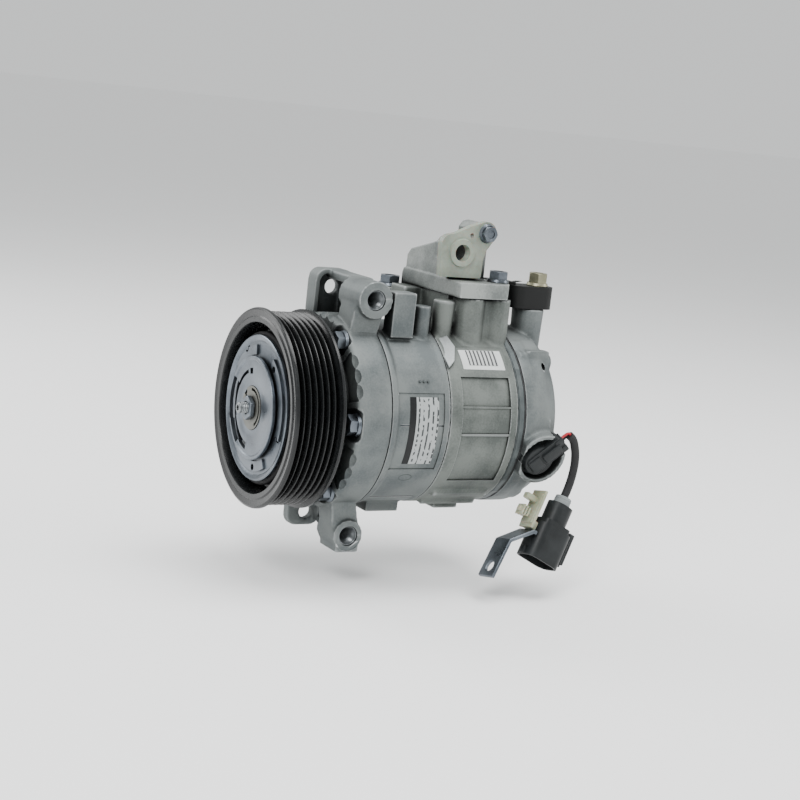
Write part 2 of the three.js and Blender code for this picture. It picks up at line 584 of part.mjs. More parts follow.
// The nylon cover over the side port: a drop-shaped plate with an open port and a bolt through its tail.
function portCover() {
  const s = new THREE.Shape();
  s.moveTo(99, 79.4).lineTo(119, 79.4).lineTo(125, 91).lineTo(131, 101);
  s.absarc(TAIL_AT[0], TAIL_AT[1], 6.6, -0.5, Math.PI * 0.6).lineTo(107, 104.6);
  s.quadraticCurveTo(98, 103, 98, 95);
  const plate = slab("x", s, COVER_X + GAP, COVER_X + 4.8);
  const rim = bar("x", 8, COVER_X + 3, COVER_X + 6.6, ...PORT_AT, 16);
  const holes = [bar("x", 4.7, 10, 30, ...PORT_AT, 12), bar("x", 3.2, 10, 30, ...TAIL_AT)];
  return cut(join(plate, rim), ...holes);
}
add("port_cover", portCover(), 0xd3d5c8, 0.5, 0);
const coverBolt = join(
  hexBar("x", 8, COVER_X + 6, COVER_X + 9.6, ...TAIL_AT),
  bar("x", 5.2, COVER_X + 4.8 + GAP, COVER_X + 6.4, ...TAIL_AT),
  bar("x", 2.8, 0, COVER_X + 6, ...TAIL_AT),
);
add("port_cover_bolt", coverBolt, ...STEEL);

MANIFOLD_BOLTS.forEach(([x, y, seatZ, flats], i) => {
  const seat = seatZ + GAP;
  const bolt = join(
    hexBar("z", flats, seat + 0.5, seat + 6, x, y),
    bar("z", 6, seat, seat + 1.4, x, y),
    bar("z", 3, 57.5, seat + 1, x, y, 8),
  );
  add("manifold_bolt_" + (i + 1), bolt, ...STEEL);
});

// The rubber cap over the rear port, held by a flange bolt.
function rearCap() {
  const tail = slab("z", [[-7, 138.5], [4, 138.5], [12, 152], [-2, 153]], 71, 78);
  const pad = slab("z", roundRect(1.5, 148.5, 18.5, 176.5, 7), REAR_PORT_TOP + GAP, 76.5);
  return cut(join(pad, tail), bar("z", 3.4, 50, 90, ...REAR_BOLT));
}
add("rear_port_cap", rearCap(), ...BLACK);
const rearBolt = join(
  hexBar("z", 10, 77.5, 84, ...REAR_BOLT),
  bar("z", 6, 76.5 + GAP, 78.5, ...REAR_BOLT),
  bar("z", 3, 52, 78, ...REAR_BOLT, 8),
);
add("rear_port_bolt", rearBolt, ...STEEL);

export default compressor;
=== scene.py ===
import bpy
import bmesh
import math
from mathutils import Euler, Matrix, Vector


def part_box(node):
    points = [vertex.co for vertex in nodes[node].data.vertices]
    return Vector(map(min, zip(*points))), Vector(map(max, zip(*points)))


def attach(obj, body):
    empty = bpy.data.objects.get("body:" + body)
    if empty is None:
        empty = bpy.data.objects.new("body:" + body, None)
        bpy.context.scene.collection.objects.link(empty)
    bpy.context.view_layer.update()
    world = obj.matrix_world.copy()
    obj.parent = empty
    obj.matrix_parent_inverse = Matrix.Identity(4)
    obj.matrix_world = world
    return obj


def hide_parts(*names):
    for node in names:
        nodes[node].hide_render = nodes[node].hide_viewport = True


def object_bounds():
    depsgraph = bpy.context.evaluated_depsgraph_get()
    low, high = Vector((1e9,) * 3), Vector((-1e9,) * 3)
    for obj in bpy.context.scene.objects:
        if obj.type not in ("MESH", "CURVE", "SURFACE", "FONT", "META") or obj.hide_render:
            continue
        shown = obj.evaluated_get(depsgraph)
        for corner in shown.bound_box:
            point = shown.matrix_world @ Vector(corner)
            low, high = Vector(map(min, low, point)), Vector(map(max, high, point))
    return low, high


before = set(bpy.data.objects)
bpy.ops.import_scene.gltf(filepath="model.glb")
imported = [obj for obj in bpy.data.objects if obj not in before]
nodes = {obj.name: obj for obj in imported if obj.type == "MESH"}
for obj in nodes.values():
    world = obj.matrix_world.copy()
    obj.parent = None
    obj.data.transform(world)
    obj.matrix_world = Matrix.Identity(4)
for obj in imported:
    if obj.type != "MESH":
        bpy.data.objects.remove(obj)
cad_low, cad_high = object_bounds()
scene = bpy.context.scene

# Camera, floor and light
# A long lens from the near side and a little above, with the shaft pointing at the left of the view.
MM = 0.001
# the eye's place, then its swing from straight ahead of the pulley, its height above level and its roll
EYE = Vector((856.1, -446.9, 168.7)) * MM
AZIMUTH, ELEVATION, ROLL = math.radians(60.41), math.radians(9.4), math.radians(6.3)
camera_data = bpy.data.cameras.new("studio_camera")
camera_data.lens = 78.75
camera_data.sensor_width = 36
camera_data.clip_end = 200
camera = bpy.data.objects.new("studio_camera", camera_data)
swing = Matrix.Rotation(AZIMUTH, 4, "Z")
tilt = Matrix.Rotation(math.pi / 2 - ELEVATION, 4, "X")
camera.matrix_world = Matrix.Translation(EYE) @ swing @ tilt @ Matrix.Rotation(ROLL, 4, "Z")
scene.collection.objects.link(camera)
scene.camera = camera


def linear(code):
    """An sRGB hex colour as linear red, green, blue and alpha."""
    parts = [int(code[i:i + 2], 16) / 255 for i in (0, 2, 4)]
    return [p / 12.92 if p <= 0.04045 else ((p + 0.055) / 1.055) ** 2.4 for p in parts] + [1.0]


def put(tree, kind, settings=(), links=()):
    """Adds a node to a material, with its settings and the sockets that feed it."""
    made = tree.nodes.new(kind)
    for key, value in dict(settings).items():
        if isinstance(key, int) or key in made.inputs:
            made.inputs[key].default_value = value
        else:
            setattr(made, key, value)
    for key, source in dict(links).items():
        tree.links.new(source, made.inputs[key])
    return made


def new_material(name, settings):
    """A material with its shader set, and its Object coordinates in millimetres."""
    material = bpy.data.materials.new(name)
    material.use_nodes = True
    tree = material.node_tree
    shader = tree.nodes["Principled BSDF"]
    for key, value in settings.items():
        shader.inputs[key].default_value = value
    place = put(tree, "ShaderNodeTexCoord").outputs["Object"]
    return material, tree, shader, place


# Seamless studio paper: pale, matt, with a very faint mottle.
FLOOR_DROP = 12 * MM
paper, tree, shader, place = new_material("studio_paper", {"Roughness": 0.9})
mottle = put(tree, "ShaderNodeTexNoise", {"Scale": 8.0, "Detail": 3.0}, {"Vector": place})
tone = put(tree, "ShaderNodeMapRange", {"To Min": 0.93, "To Max": 0.95}, {"Value": mottle.outputs["Fac"]})
tree.links.new(tone.outputs["Result"], shader.inputs["Base Color"])
bm = bmesh.new()
bmesh.ops.create_grid(bm, x_segments=2, y_segments=2, size=60)
bmesh.ops.translate(bm, vec=(0, 0, cad_low.z - FLOOR_DROP), verts=bm.verts)
floor_mesh = bpy.data.meshes.new("studio_floor")
bm.to_mesh(floor_mesh)
bm.free()
floor = bpy.data.objects.new("studio_floor", floor_mesh)
floor_mesh.materials.append(paper)
scene.collection.objects.link(floor)

world = bpy.data.worlds.new("studio_air")
world.use_nodes = True
world.node_tree.nodes["Background"].inputs["Color"].default_value = linear("f6f8f8")
world.node_tree.nodes["Background"].inputs["Strength"].default_value = 0.9
scene.world = world
# softboxes: place and size in metres, power in watts; each one looks at the middle of the body
MIDDLE = Vector((0, 0.03, 0))
SOFTBOXES = [
    ((0.9, -0.9, 1.1), 0.6, 17),
    ((0.2, 0.3, 1.5), 1.0, 26),
    ((0.6, 1.2, 0.4), 0.5, 5),
    ((-0.9, -0.6, 0.7), 0.7, 8),
]
for i, (spot, size, watts) in enumerate(SOFTBOXES):
    lamp_data = bpy.data.lights.new("softbox_%d" % (i + 1), "AREA")
    lamp_data.energy = watts
    lamp_data.size = size
    lamp = bpy.data.objects.new(lamp_data.name, lamp_data)
    aim = (MIDDLE - Vector(spot)).to_track_quat("-Z", "Y")
    lamp.matrix_world = Matrix.Translation(spot) @ aim.to_matrix().to_4x4()
    scene.collection.objects.link(lamp)

# Lead and the pieces on it
# Two thin wires leave the valve plug and run in a vinyl sleeve to a grey rubber boot, a black
# connector with its nylon clip, and a zinc-plated strip that the clip snaps into.
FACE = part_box("pulley")[0].y  # stations along the shaft are counted from the pulley's front face


def at(x, y, z):
    """A point given in millimetres, its y counted from the pulley's front face."""
    return Vector((x * MM, y * MM + FACE, z * MM))


def placed(spot, turn):
    """Carries a shape drawn round station zero to a spot, turned on the way."""
    return Matrix.Translation(spot) @ turn @ Matrix.Translation(-at(0, 0, 0))


def move_to(bm, matrix):
    """Moves a shape and hands it back."""
    bmesh.ops.transform(bm, matrix=matrix, verts=bm.verts)
    return bm


def bar(axis, r, low, high, a, b, sides=48, r_end=None):
    """A round bar along one axis from low to high, through the other two coordinates."""
    bm = bmesh.new()
    end = r if r_end is None else r_end
    bmesh.ops.create_cone(
        bm, cap_ends=True, segments=sides, radius1=r * MM, radius2=end * MM, depth=(high - low) * MM,
    )
    mid = (low + high) / 2
    way = {"x": Euler((0, math.pi / 2, 0)), "y": Euler((-math.pi / 2, 0, 0)), "z": Euler((0, 0, 0))}[axis]
    spot = {"x": (mid, a, b), "y": (a, mid, b), "z": (a, b, mid)}[axis]
    return move_to(bm, Matrix.Translation(at(*spot)) @ way.to_matrix().to_4x4())


def block(x, y, z, edge=0.0):
    """A box between two limits along each axis, its edges rounded by edge millimetres."""
    bm = bmesh.new()
    bmesh.ops.create_cube(bm, size=1)
    size = [(high - low) * MM for low, high in (x, y, z)]
    bmesh.ops.scale(bm, vec=size, verts=bm.verts)
    bmesh.ops.translate(bm, vec=at(*[(low + high) / 2 for low, high in (x, y, z)]), verts=bm.verts)
    if edge:
        bmesh.ops.bevel(
            bm, geom=bm.edges, offset=edge * MM, offset_type="OFFSET", affect="EDGES",
            segments=3, profile=0.5, material=-1,
        )
    return bm


def slab(axis, outline, low, high):
    """A flat outline square to an axis, given depth from low to high."""
    bm = bmesh.new()
    spot = {
        "x": lambda p, h: (h, p[0], p[1]), "y": lambda p, h: (p[0], h, p[1]), "z": lambda p,
        h: (p[0], p[1], h),
    }[axis]
    face = bm.faces.new([bm.verts.new(at(*spot(p, low))) for p in outline])
    made = bmesh.ops.extrude_face_region(bm, geom=[face])
    rise = at(*spot((0, 0), high)) - at(*spot((0, 0), low))
    bmesh.ops.translate(bm, vec=rise, verts=[v for v in made["geom"] if isinstance(v, bmesh.types.BMVert)])
    bmesh.ops.recalc_face_normals(bm, faces=bm.faces)
    return bm


def rounded(x0, y0, x1, y1, r, steps=6):
    """The outline of a rectangle with round corners."""
    corners = [(x1 - r, y0 + r, -90), (x1 - r, y1 - r, 0), (x0 + r, y1 - r, 90), (x0 + r, y0 + r, 180)]
    return [
        (
            cx + r * math.cos(math.radians(a + 90 * i / steps)),
            cy + r * math.sin(math.radians(a + 90 * i / steps)),
        )
        for cx, cy, a in corners for i in range(steps + 1)
    ]


def together(*shapes):
    """Puts several shapes in one mesh."""
    whole = bmesh.new()
    for shape in shapes:
        held = bpy.data.meshes.new("held")
        shape.to_mesh(held)
        shape.free()
        whole.from_mesh(held)
        bpy.data.meshes.remove(held)
    return whole


def shaped(mesh, modifiers):
    """The mesh after some modifiers, given as (type, settings)."""
    holder = bpy.data.objects.new("holder", mesh)
    scene.collection.objects.link(holder)
    for i, (kind, settings) in enumerate(modifiers):
        modifier = holder.modifiers.new("step_%d" % i, kind)
        for key, value in settings.items():
            setattr(modifier, key, value)
    result = bpy.data.meshes.new_from_object(holder.evaluated_get(bpy.context.evaluated_depsgraph_get()))
    bpy.data.objects.remove(holder)
    return result


def carved(bm, *cutters, self_crossing=False):
    """Cuts the cutters out of a shape."""
    body = bpy.data.meshes.new("body")
    bm.to_mesh(body)
    bm.free()
    for cutter in cutters:
        tool_mesh = bpy.data.meshes.new("tool")
        cutter.to_mesh(tool_mesh)
        cutter.free()
        tool = bpy.data.objects.new("tool", tool_mesh)
        scene.collection.objects.link(tool)
        body = shaped(
            body,
            [
                (
                    "BOOLEAN",
                    {"object": tool, "operation": "DIFFERENCE", "solver": "EXACT", "use_self": self_crossing},
                )
            ],
        )
        bpy.data.objects.remove(tool)
    result = bmesh.new()
    result.from_mesh(body)
    return result


def piece(name, bm, material, body, stands_for=(), edge=0.0, crease=35):
    """Makes a finished piece: smooth faces with sharp creases, rounded edges and a body."""
    mesh = bpy.data.meshes.new(name)
    bm.to_mesh(mesh)
    bm.free()
    mesh.materials.clear()
    mesh.materials.append(material)
    mesh.polygons.foreach_set("use_smooth", [True] * len(mesh.polygons))
    mesh.polygons.foreach_set("material_index", [0] * len(mesh.polygons))
    mesh.set_sharp_from_angle(angle=math.radians(crease))
    made = bpy.data.objects.new(name, mesh)
    scene.collection.objects.link(made)
    if edge:
        rounding = made.modifiers.new("rounding", "BEVEL")
        rounding.width = edge * MM
        rounding.segments = 2
        rounding.limit_method = "ANGLE"
        rounding.angle_limit = math.radians(crease)
    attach(made, body)
    if stands_for:
        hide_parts(*stands_for)
    return made


def painted_corner_shade(tree, colour, reach, floor_share):
    """Painted shade: a colour that falls to a share of itself in corners and gaps up to reach millimetres
    wide.
    """
    gap = put(tree, "ShaderNodeAmbientOcclusion", {"samples": 6, "Distance": reach * MM})
    share = put(
        tree, "ShaderNodeMapRange", {"From Min": 0.3, "From Max": 0.92, "To Min": floor_share},
        {"Value": gap.outputs["AO"]},
    )
    dark = put(
        tree, "ShaderNodeMix", {"data_type": "RGBA", "blend_type": "MULTIPLY", 0: 1.0},
        {6: colour, 7: share.outputs["Result"]},
    )
    return dark.outputs[2]


def grained(name, hex_dark, hex_light, settings, grain, bump, detail=4.0, rough=None, reach=0):
    """A material whose colour, roughness and height follow a grain of a given size in millimetres, with
    painted shade in its corners when reach is given.
    """
    material, tree, shader, place = new_material(name, settings)
    fine = put(tree, "ShaderNodeTexNoise", {"Scale": 1 / (grain * MM), "Detail": detail}, {"Vector": place})
    broad = put(tree, "ShaderNodeTexNoise", {"Scale": 1 / (14 * MM), "Detail": 3.0}, {"Vector": place})
    both = put(
        tree, "ShaderNodeMath", {"operation": "MULTIPLY_ADD", 1: 0.35},
        {0: fine.outputs["Fac"], 2: broad.outputs["Fac"]},
    )
    share = put(tree, "ShaderNodeMapRange", {"From Min": 0.45, "From Max": 0.9}, {"Value": both.outputs[0]})
    mix = put(
        tree, "ShaderNodeMix", {"data_type": "RGBA", 6: linear(hex_dark), 7: linear(hex_light)},
        {0: share.outputs["Result"]},
    )
    # painted shade in corners and gaps out to reach millimetres, when reach is given
    colour = painted_corner_shade(tree, mix.outputs[2], reach, 0.3) if reach else mix.outputs[2]
    tree.links.new(colour, shader.inputs["Base Color"])
    if rough:
        spread = put(
            tree, "ShaderNodeMapRange", {"To Min": rough[0], "To Max": rough[1]},
            {"Value": share.outputs["Result"]},
        )
        tree.links.new(spread.outputs["Result"], shader.inputs["Roughness"])
    height = put(
        tree, "ShaderNodeBump", {"Strength": bump, "Distance": 0.1 * MM}, {"Height": fine.outputs["Fac"]},
    )
    tree.links.new(height.outputs["Normal"], shader.inputs["Normal"])
    return material


# Vinyl sleeve, extruded: matt with a faint woven rub.
vinyl = grained(
    "extruded_vinyl", "1b1b1c", "2c2c2d", {"Specular IOR Level": 0.22}, 0.8, 0.6, rough=(0.5, 0.68),
)
# Glass-filled nylon, moulded: black-grey, satin, with a fine spark-eroded texture.
glass_nylon = grained(
    "moulded_glass_filled_nylon", "17191a", "272a2b", {"Specular IOR Level": 0.22}, 0.5, 0.35,
    rough=(0.36, 0.5),
)
# Soft grey boot rubber, moulded and matt.
boot_rubber = grained("moulded_grey_rubber", "6f7475", "858a8b", {}, 0.6, 0.3, rough=(0.6, 0.75))
# Silicone seal, moulded: red with a soft shine.
silicone = grained("moulded_red_silicone", "9c1822", "c22a34", {}, 0.8, 0.2, rough=(0.3, 0.45))
# Unfilled nylon, moulded: milky, with light scattered inside it.
milky = {"Subsurface Weight": 0.25, "Subsurface Scale": 1.5 * MM, "Roughness": 0.42}
clip_nylon = grained("moulded_natural_nylon", "84876f", "a4a690", milky, 1.2, 0.2)
# Zinc plate, passivated: blue-grey and satin, with crystal-like clouding and painted shade in its corners.
zinc_plate = grained(
    "zinc_plated_steel", "535960", "7b8289", {"Metallic": 0.9}, 1.1, 0.3, rough=(0.26, 0.44), reach=5,
)

LEAD_D = 4.8
LEAD_ROUTE = [
    (54.3, 172.6, -2.6), (54.1, 175.4, -4.9), (53.6, 177.9, -9.6),
    (52.8, 179.8, -17), (51.6, 180.3, -25), (51.2, 178.9, -33), (51.95, 176.2, -39.1),
]


def tube(name, route, diameter, material, round_steps=8):
    """A smooth round curve through some points, given in millimetres."""
    curve = bpy.data.curves.new(name, "CURVE")
    curve.dimensions = "3D"
    curve.bevel_depth = diameter / 2 * MM
    curve.bevel_resolution = round_steps
    curve.resolution_u = 10
    curve.use_fill_caps = True
    spline = curve.splines.new("BEZIER")
    spline.bezier_points.add(len(route) - 1)
    for knot, point in zip(spline.bezier_points, route):
        knot.co = at(*point)
        knot.handle_left_type = "AUTO"
        knot.handle_right_type = "AUTO"
    curve.materials.append(material)
    made = bpy.data.objects.new(name, curve)
    scene.collection.objects.link(made)
    return made


lead = tube("pigtail_sleeve", LEAD_ROUTE, LEAD_D, vinyl)
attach(lead, "housing")
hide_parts("pigtail_lead")
WIRE_D = 1.6
for wire_name, shift, wire_material in (("wire_red", 1.3, silicone), ("wire_black", -1.3, vinyl)):
    route = [
        (53.4 + shift * 0.4, 166.6, -6.6 + shift), (53.9 + shift * 0.4, 169.6, -3.9 + shift),
        (54.3 + shift * 0.3, 172, -2.2 + shift * 0.5), (54.2 + shift * 0.2, 174, -3.6),
    ]
    wire = tube(wire_name, route, WIRE_D, wire_material, 4)
    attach(wire, "housing")

# the connector's own frame: its mouth points along local -Z and its latch is on local +Y
COLLAR_AT = at(52.1, 176, -39.5)
MOUTH_WAY = Vector((0.2, -0.47, -0.86)).normalized()
plug_turn = Vector((0, 0, -1)).rotation_difference(MOUTH_WAY).to_matrix().to_4x4()
plug_frame = placed(COLLAR_AT, plug_turn)

collar = together(bar("z", 5, -5, -0.2, 0, 0, 40, 4.7), bar("z", 4.9, -2.2, -1.6, 0, 0, 40, 5))
boot = piece(
    "cable_boot", move_to(collar, plug_frame), boot_rubber, "housing", ["cable_collar"], 0.5,
)

shell = together(
    slab("z", rounded(-6.5, -7.5, 6.5, 7.5, 6, 10), -21, -5.3),
    slab("z", rounded(-8.5, -11.5, 8.5, 11.5, 5.6, 10), -41, -20),
    slab("z", rounded(-7.2, -9.5, 7.2, 9.5, 3), -20.2, -17),
    block((-4, 4), (11, 15), (-36, -17), 0.6),
    block((-5, 5), (11, 12.6), (-38, -22), 0.4),
    block((-2, 2), (-13, -11), (-40.8, -36), 0.4),
)
mouth = slab("z", rounded(-7.2, -10.2, 7.2, 10.2, 4.4, 10), -42, -23)
slot_cut = block((-2.6, 2.6), (12.8, 14), (-37, -16))
connector = carved(shell, mouth, slot_cut, self_crossing=True)
connector = together(connector, slab("z", rounded(-3.3, -6.1, 3.3, 6.1, 1.4), -29, -22.4))
socket = piece(
    "valve_connector", move_to(connector, plug_frame), glass_nylon, "housing",
    ["lead_connector"], 0.35,
)

gasket = carved(
    slab("z", rounded(-5.6, -8.4, 5.6, 8.4, 2.2), -29, -23.3),
    slab("z", rounded(-3.7, -6.5, 3.7, 6.5, 1.5), -30, -20),
)
seal = piece(
    "connector_gasket", move_to(gasket, plug_frame), silicone, "housing", ["connector_seal"], 0.3,
)

barbs = []
for i in range(3):
    root, shrink = -24.5 + 1.9 * i, 0.3 * i
    barbs.append(block((-3.4, 3.4), (root, root + 0.8), (-22.6 + shrink, -16.4 - shrink), 0.2))
tree_clip = together(
    block((-6, 6), (-17, -15.2), (-27, -4), 0.5),
    block((-4, 4), (-15.5, -11.9), (-27, -22), 0.4),
    block((-1.6, 1.6), (-26, -16), (-21, -18), 0.5),
    *barbs,
    block((-2.2, 2.2), (-25, -16), (-12.5, -9), 0.8),
    block((-5.2, 5.2), (-17.6, -16.6), (-24.5, -6.5), 0.3),
)
clip = piece(
    "bracket_clip", move_to(tree_clip, plug_frame), clip_nylon, "housing", ["cable_clip"],
)

STRIP = [
    (-11.8, -27.3), (-14.5, -27.3), (-27, -39.6), (-28.2, -63), (-26.4, -63.6), (-25.2, -40.6),
    (-13.6, -29.6), (-11.8, -29.6),
]
strip = carved(slab("x", STRIP, -7, 7), bar("y", 3.1, -32, -20, 0, -57))
strip = piece(
    "clip_bracket", move_to(strip, plug_frame), zinc_plate, "housing", ["connector_bracket"],
    0.4,
)

# Front housing
# A die-casting with scalloped pockets round its bolt heads and crosswise ears above and below.
# The ear faces are cut flat and bored through, and one blasted skin covers it, with a painted highlight on
# its edges and painted shade in its pockets and corners.
CAD_SIDES = 28  # flat sides on each drum of the CAD castings


def round_out(bm, limit, power=1):
    """Turns many-sided drums into true ones, out to a radius in millimetres, or back again at -1."""
    step = 2 * math.pi / CAD_SIDES
    for v in bm.verts:
        if math.hypot(v.co.x, v.co.z) > limit * MM:
            continue
        off = math.atan2(v.co.x, v.co.z) % step - step / 2
        grow = (math.cos(off) / math.cos(step / 2)) ** power
        v.co.x *= grow
        v.co.z *= grow


def casting(node, extras, voxel=0.7, rounds=5, limit=54.2):
    """The CAD shape and extra bosses run into one skin, with the soft corners of a casting."""
    bm = bmesh.new()
    bm.from_mesh(nodes[node].data)
    bmesh.ops.remove_doubles(bm, verts=bm.verts, dist=0.001 * MM)
    for extra in extras:
        round_out(extra, limit, -1)
    bm = together(bm, *extras)
    rough = bpy.data.meshes.new("rough")
    bm.to_mesh(rough)
    bm.free()
    skin = shaped(rough, [
        ("REMESH", {"mode": "VOXEL", "voxel_size": voxel * MM}),
        ("SMOOTH", {"factor": 0.5, "iterations": rounds}),
    ])
    result = bmesh.new()
    result.from_mesh(skin)
    round_out(result, limit)
    return result


def arc(r0, r1, y0, y1, a0, a1, steps=40):
    """A curved block round the shaft axis; its angles are counted from +X towards +Z."""
    bm = bmesh.new()
    start = math.radians(a0)
    corners = [(r0, y0), (r1, y0), (r1, y1), (r0, y1)]
    face = bm.faces.new([bm.verts.new(at(r * math.cos(start), y, r * math.sin(start))) for r, y in corners])
    bmesh.ops.spin(
        bm, geom=[face, *face.edges, *face.verts], cent=(0, 0, 0), axis=(0, -1, 0),
        angle=math.radians(a1 - a0), steps=steps, use_duplicate=False,
    )
    bmesh.ops.remove_doubles(bm, verts=bm.verts, dist=0.001 * MM)
    bmesh.ops.recalc_face_normals(bm, faces=bm.faces)
    return bm


def spot_on(r, y, angle):
    """A point on a round skin, its angle counted from +X towards +Z."""
    return (r * math.cos(math.radians(angle)), y, r * math.sin(math.radians(angle)))


def die_cast(name, dark, light):
    """Die-cast aluminium, bead-blasted: a light matt grey with a fine pitted grain, a painted highlight on
    its sharp edges and painted shade in its corners.
    """
    material, tree, shader, place = new_material(name, {"Metallic": 0.7})
    grain = put(
        tree, "ShaderNodeTexNoise", {"Scale": 1 / (1.1 * MM), "Detail": 6.0, "Roughness": 0.6},
        {"Vector": place},
    )
    cloud = put(tree, "ShaderNodeTexNoise", {"Scale": 1 / (22 * MM), "Detail": 4.0}, {"Vector": place})
    both = put(
        tree, "ShaderNodeMath", {"operation": "MULTIPLY_ADD", 1: 0.4},
        {0: grain.outputs["Fac"], 2: cloud.outputs["Fac"]},
    )
    share = put(tree, "ShaderNodeMapRange", {"From Min": 0.52, "From Max": 0.82}, {"Value": both.outputs[0]})
    skin = put(
        tree, "ShaderNodeMix", {"data_type": "RGBA", 6: linear(dark), 7: linear(light)},
        {0: share.outputs["Result"]},
    )
    # painted highlight: convex edges lightened towards a pale grey
    shape = put(tree, "ShaderNodeNewGeometry")
    painted_edge_highlight = put(
        tree, "ShaderNodeMapRange", {"From Min": 0.52, "From Max": 0.6},
        {"Value": shape.outputs["Pointiness"]},
    )
    highlit_skin = put(
        tree, "ShaderNodeMix", {"data_type": "RGBA", 7: linear("b9bcbc")},
        {0: painted_edge_highlight.outputs["Result"], 6: skin.outputs[2]},
    )
    # painted shade in corners and gaps up to 15 mm wide, down to a tenth of the colour
    tree.links.new(painted_corner_shade(tree, highlit_skin.outputs[2], 15, 0.1), shader.inputs["Base Color"])
    rough = put(
        tree, "ShaderNodeMapRange", {"To Min": 0.5, "To Max": 0.66}, {"Value": share.outputs["Result"]},
    )
    tree.links.new(rough.outputs["Result"], shader.inputs["Roughness"])
    height = put(
        tree, "ShaderNodeBump", {"Strength": 0.5, "Distance": 0.12 * MM}, {"Height": grain.outputs["Fac"]},
    )
    tree.links.new(height.outputs["Normal"], shader.inputs["Normal"])
    return material


# Die castings: a cool blue-grey case and head, and a slightly greener block between them.
body_casting = die_cast("die_cast_aluminium", "555b5c", "757a79")
block_casting = die_cast("die_cast_silicon_alloy", "525754", "757a76")
TOP_EAR = (53, 65.7)
LOW_EAR = (51, -65.4)
plugs = [bar("x", 6.6, 9, 29.9, y, z) for y, z in (TOP_EAR, LOW_EAR)]
ear_bores = [bar("x", 5.7, 9.9, 32, y, z) for y, z in (TOP_EAR, LOW_EAR)]
ear_faces = [bar("x", 9.6, 29.95, 33, *TOP_EAR, 64), bar("x", 8.4, 29.95, 33, *LOW_EAR, 64)]
BOLT_STEP = 60
BOLT_START = 1
SCALLOP_R = 7
pockets, bites = [], []
for i in range(6):
    mid = BOLT_START + BOLT_STEP * (i + 0.5)
    reach = 54.6 if i in (1, 4) else 62
    # the pockets at the top and bottom stop short, which leaves the ear webs whole
    pockets.append(arc(41.5, reach, 20, 37.6, mid - 15.5, mid + 15.5, 20))
    for off in (-10, -0.5, 9):
        ball = bmesh.new()
        bmesh.ops.create_uvsphere(ball, u_segments=24, v_segments=16, radius=SCALLOP_R * MM)
        bmesh.ops.translate(ball, vec=at(*spot_on(56.4, 33.4, mid + off)), verts=ball.verts)
        bites.append(ball)
front = casting("front_housing", plugs, voxel=0.8)
front = carved(front, *ear_bores, *ear_faces, together(*pockets), together(*bites))
piece("front_casting", front, body_casting, "housing", ["front_housing"])

# Middle casting
# The crankcase ring, with a recessed panel for its data plate, a cast oval and a raised web.
web = together(bar("z", 5.4, 44, 63, 20, 87.5, 32, 5), block((8, 20), (82, 94.6), (40, 60)))
middle = casting("crankcase_housing", [web])
panel = arc(50.95, 60, 62.5, 91.5, -28, 21.5)
web_pocket = block((18.4, 24), (84.4, 92.2), (47.5, 57.2), 0.6)
middle = carved(middle, panel, web_pocket)
piece("middle_casting", middle, body_casting, "housing", ["crankcase_housing"])

# the cast oval under the data plate: a raised ring on the skin
oval = bmesh.new()
OVAL_ANGLE = -35
OVAL = spot_on(51.4, 75.7, OVAL_ANGLE)
bmesh.ops.create_circle(oval, segments=48, radius=4.2 * MM)
bmesh.ops.scale(oval, vec=(1, 0.62, 1), verts=oval.verts)
made = bmesh.ops.extrude_edge_only(oval, edges=list(oval.edges))
inner = [v for v in made["geom"] if isinstance(v, bmesh.types.BMVert)]
bmesh.ops.scale(oval, vec=(0.86, 0.8, 1), verts=inner)
bmesh.ops.solidify(oval, geom=oval.faces, thickness=0.4 * MM)
outward = Vector(spot_on(1, 0, OVAL_ANGLE))
oval_turn = outward.to_track_quat("Z", "Y").to_matrix().to_4x4()
move_to(oval, Matrix.Translation(at(*OVAL)) @ oval_turn)
bmesh.ops.recalc_face_normals(oval, faces=oval.faces)
# As-cast aluminium inside raised marks: darker and rougher than the blasted faces round it.
cast_skin = grained("as_cast_aluminium", "3d4243", "565c5c", {"Metallic": 0.6}, 1.1, 0.4, rough=(0.5, 0.62))
piece("cast_oval", oval, cast_skin, "housing")

# plain cast dots where a foundry puts its batch mark
DOT_TURN = Matrix.Rotation(-math.radians(28.6), 4, "Y")
dots = [
    move_to(bar("x", 0.7, 51.6, 52.2, 0, 0, 16), placed(at(0, 76.6 + 2.6 * i, 0), DOT_TURN)) for i in range(3)
]
piece("cast_dots", together(*dots), cast_skin, "housing", edge=0.2)

# Data plate
# Printed foil stuck in the recessed panel: a dark band beside a silver field with plain rules.
def ruled(name, ground, ink, spacing, share, waver):
    """Foil printed with plain rules across the shaft, a given spacing apart in millimetres."""
    material, tree, shader, place = new_material(name, {"Roughness": 0.42, "Metallic": 0.1})
    parts = put(tree, "ShaderNodeSeparateXYZ", {}, {0: place})
    pitch = put(tree, "ShaderNodeMath", {"operation": "DIVIDE", 1: spacing * MM}, {0: parts.outputs["Y"]})
    phase = put(tree, "ShaderNodeMath", {"operation": "FRACT"}, {0: pitch.outputs[0]})
    line = put(tree, "ShaderNodeMath", {"operation": "LESS_THAN", 1: share}, {0: phase.outputs[0]})
    broken = put(tree, "ShaderNodeTexNoise", {"Scale": 1 / (waver * MM), "Detail": 0.0}, {"Vector": place})
    kept = put(tree, "ShaderNodeMath", {"operation": "GREATER_THAN", 1: 0.47}, {0: broken.outputs["Fac"]})
    both = put(tree, "ShaderNodeMath", {"operation": "MULTIPLY"}, {0: line.outputs[0], 1: kept.outputs[0]})
    mix = put(
        tree, "ShaderNodeMix", {"data_type": "RGBA", 6: linear(ground), 7: linear(ink)}, {0: both.outputs[0]},
    )
    tree.links.new(mix.outputs[2], shader.inputs["Base Color"])
    return material


# Silver foil, printed: plain broken rules in dark ink on a soft silver ground.
foil = ruled("printed_silver_foil", "9da1a1", "2c2f30", 2.9, 0.36, 2.2)
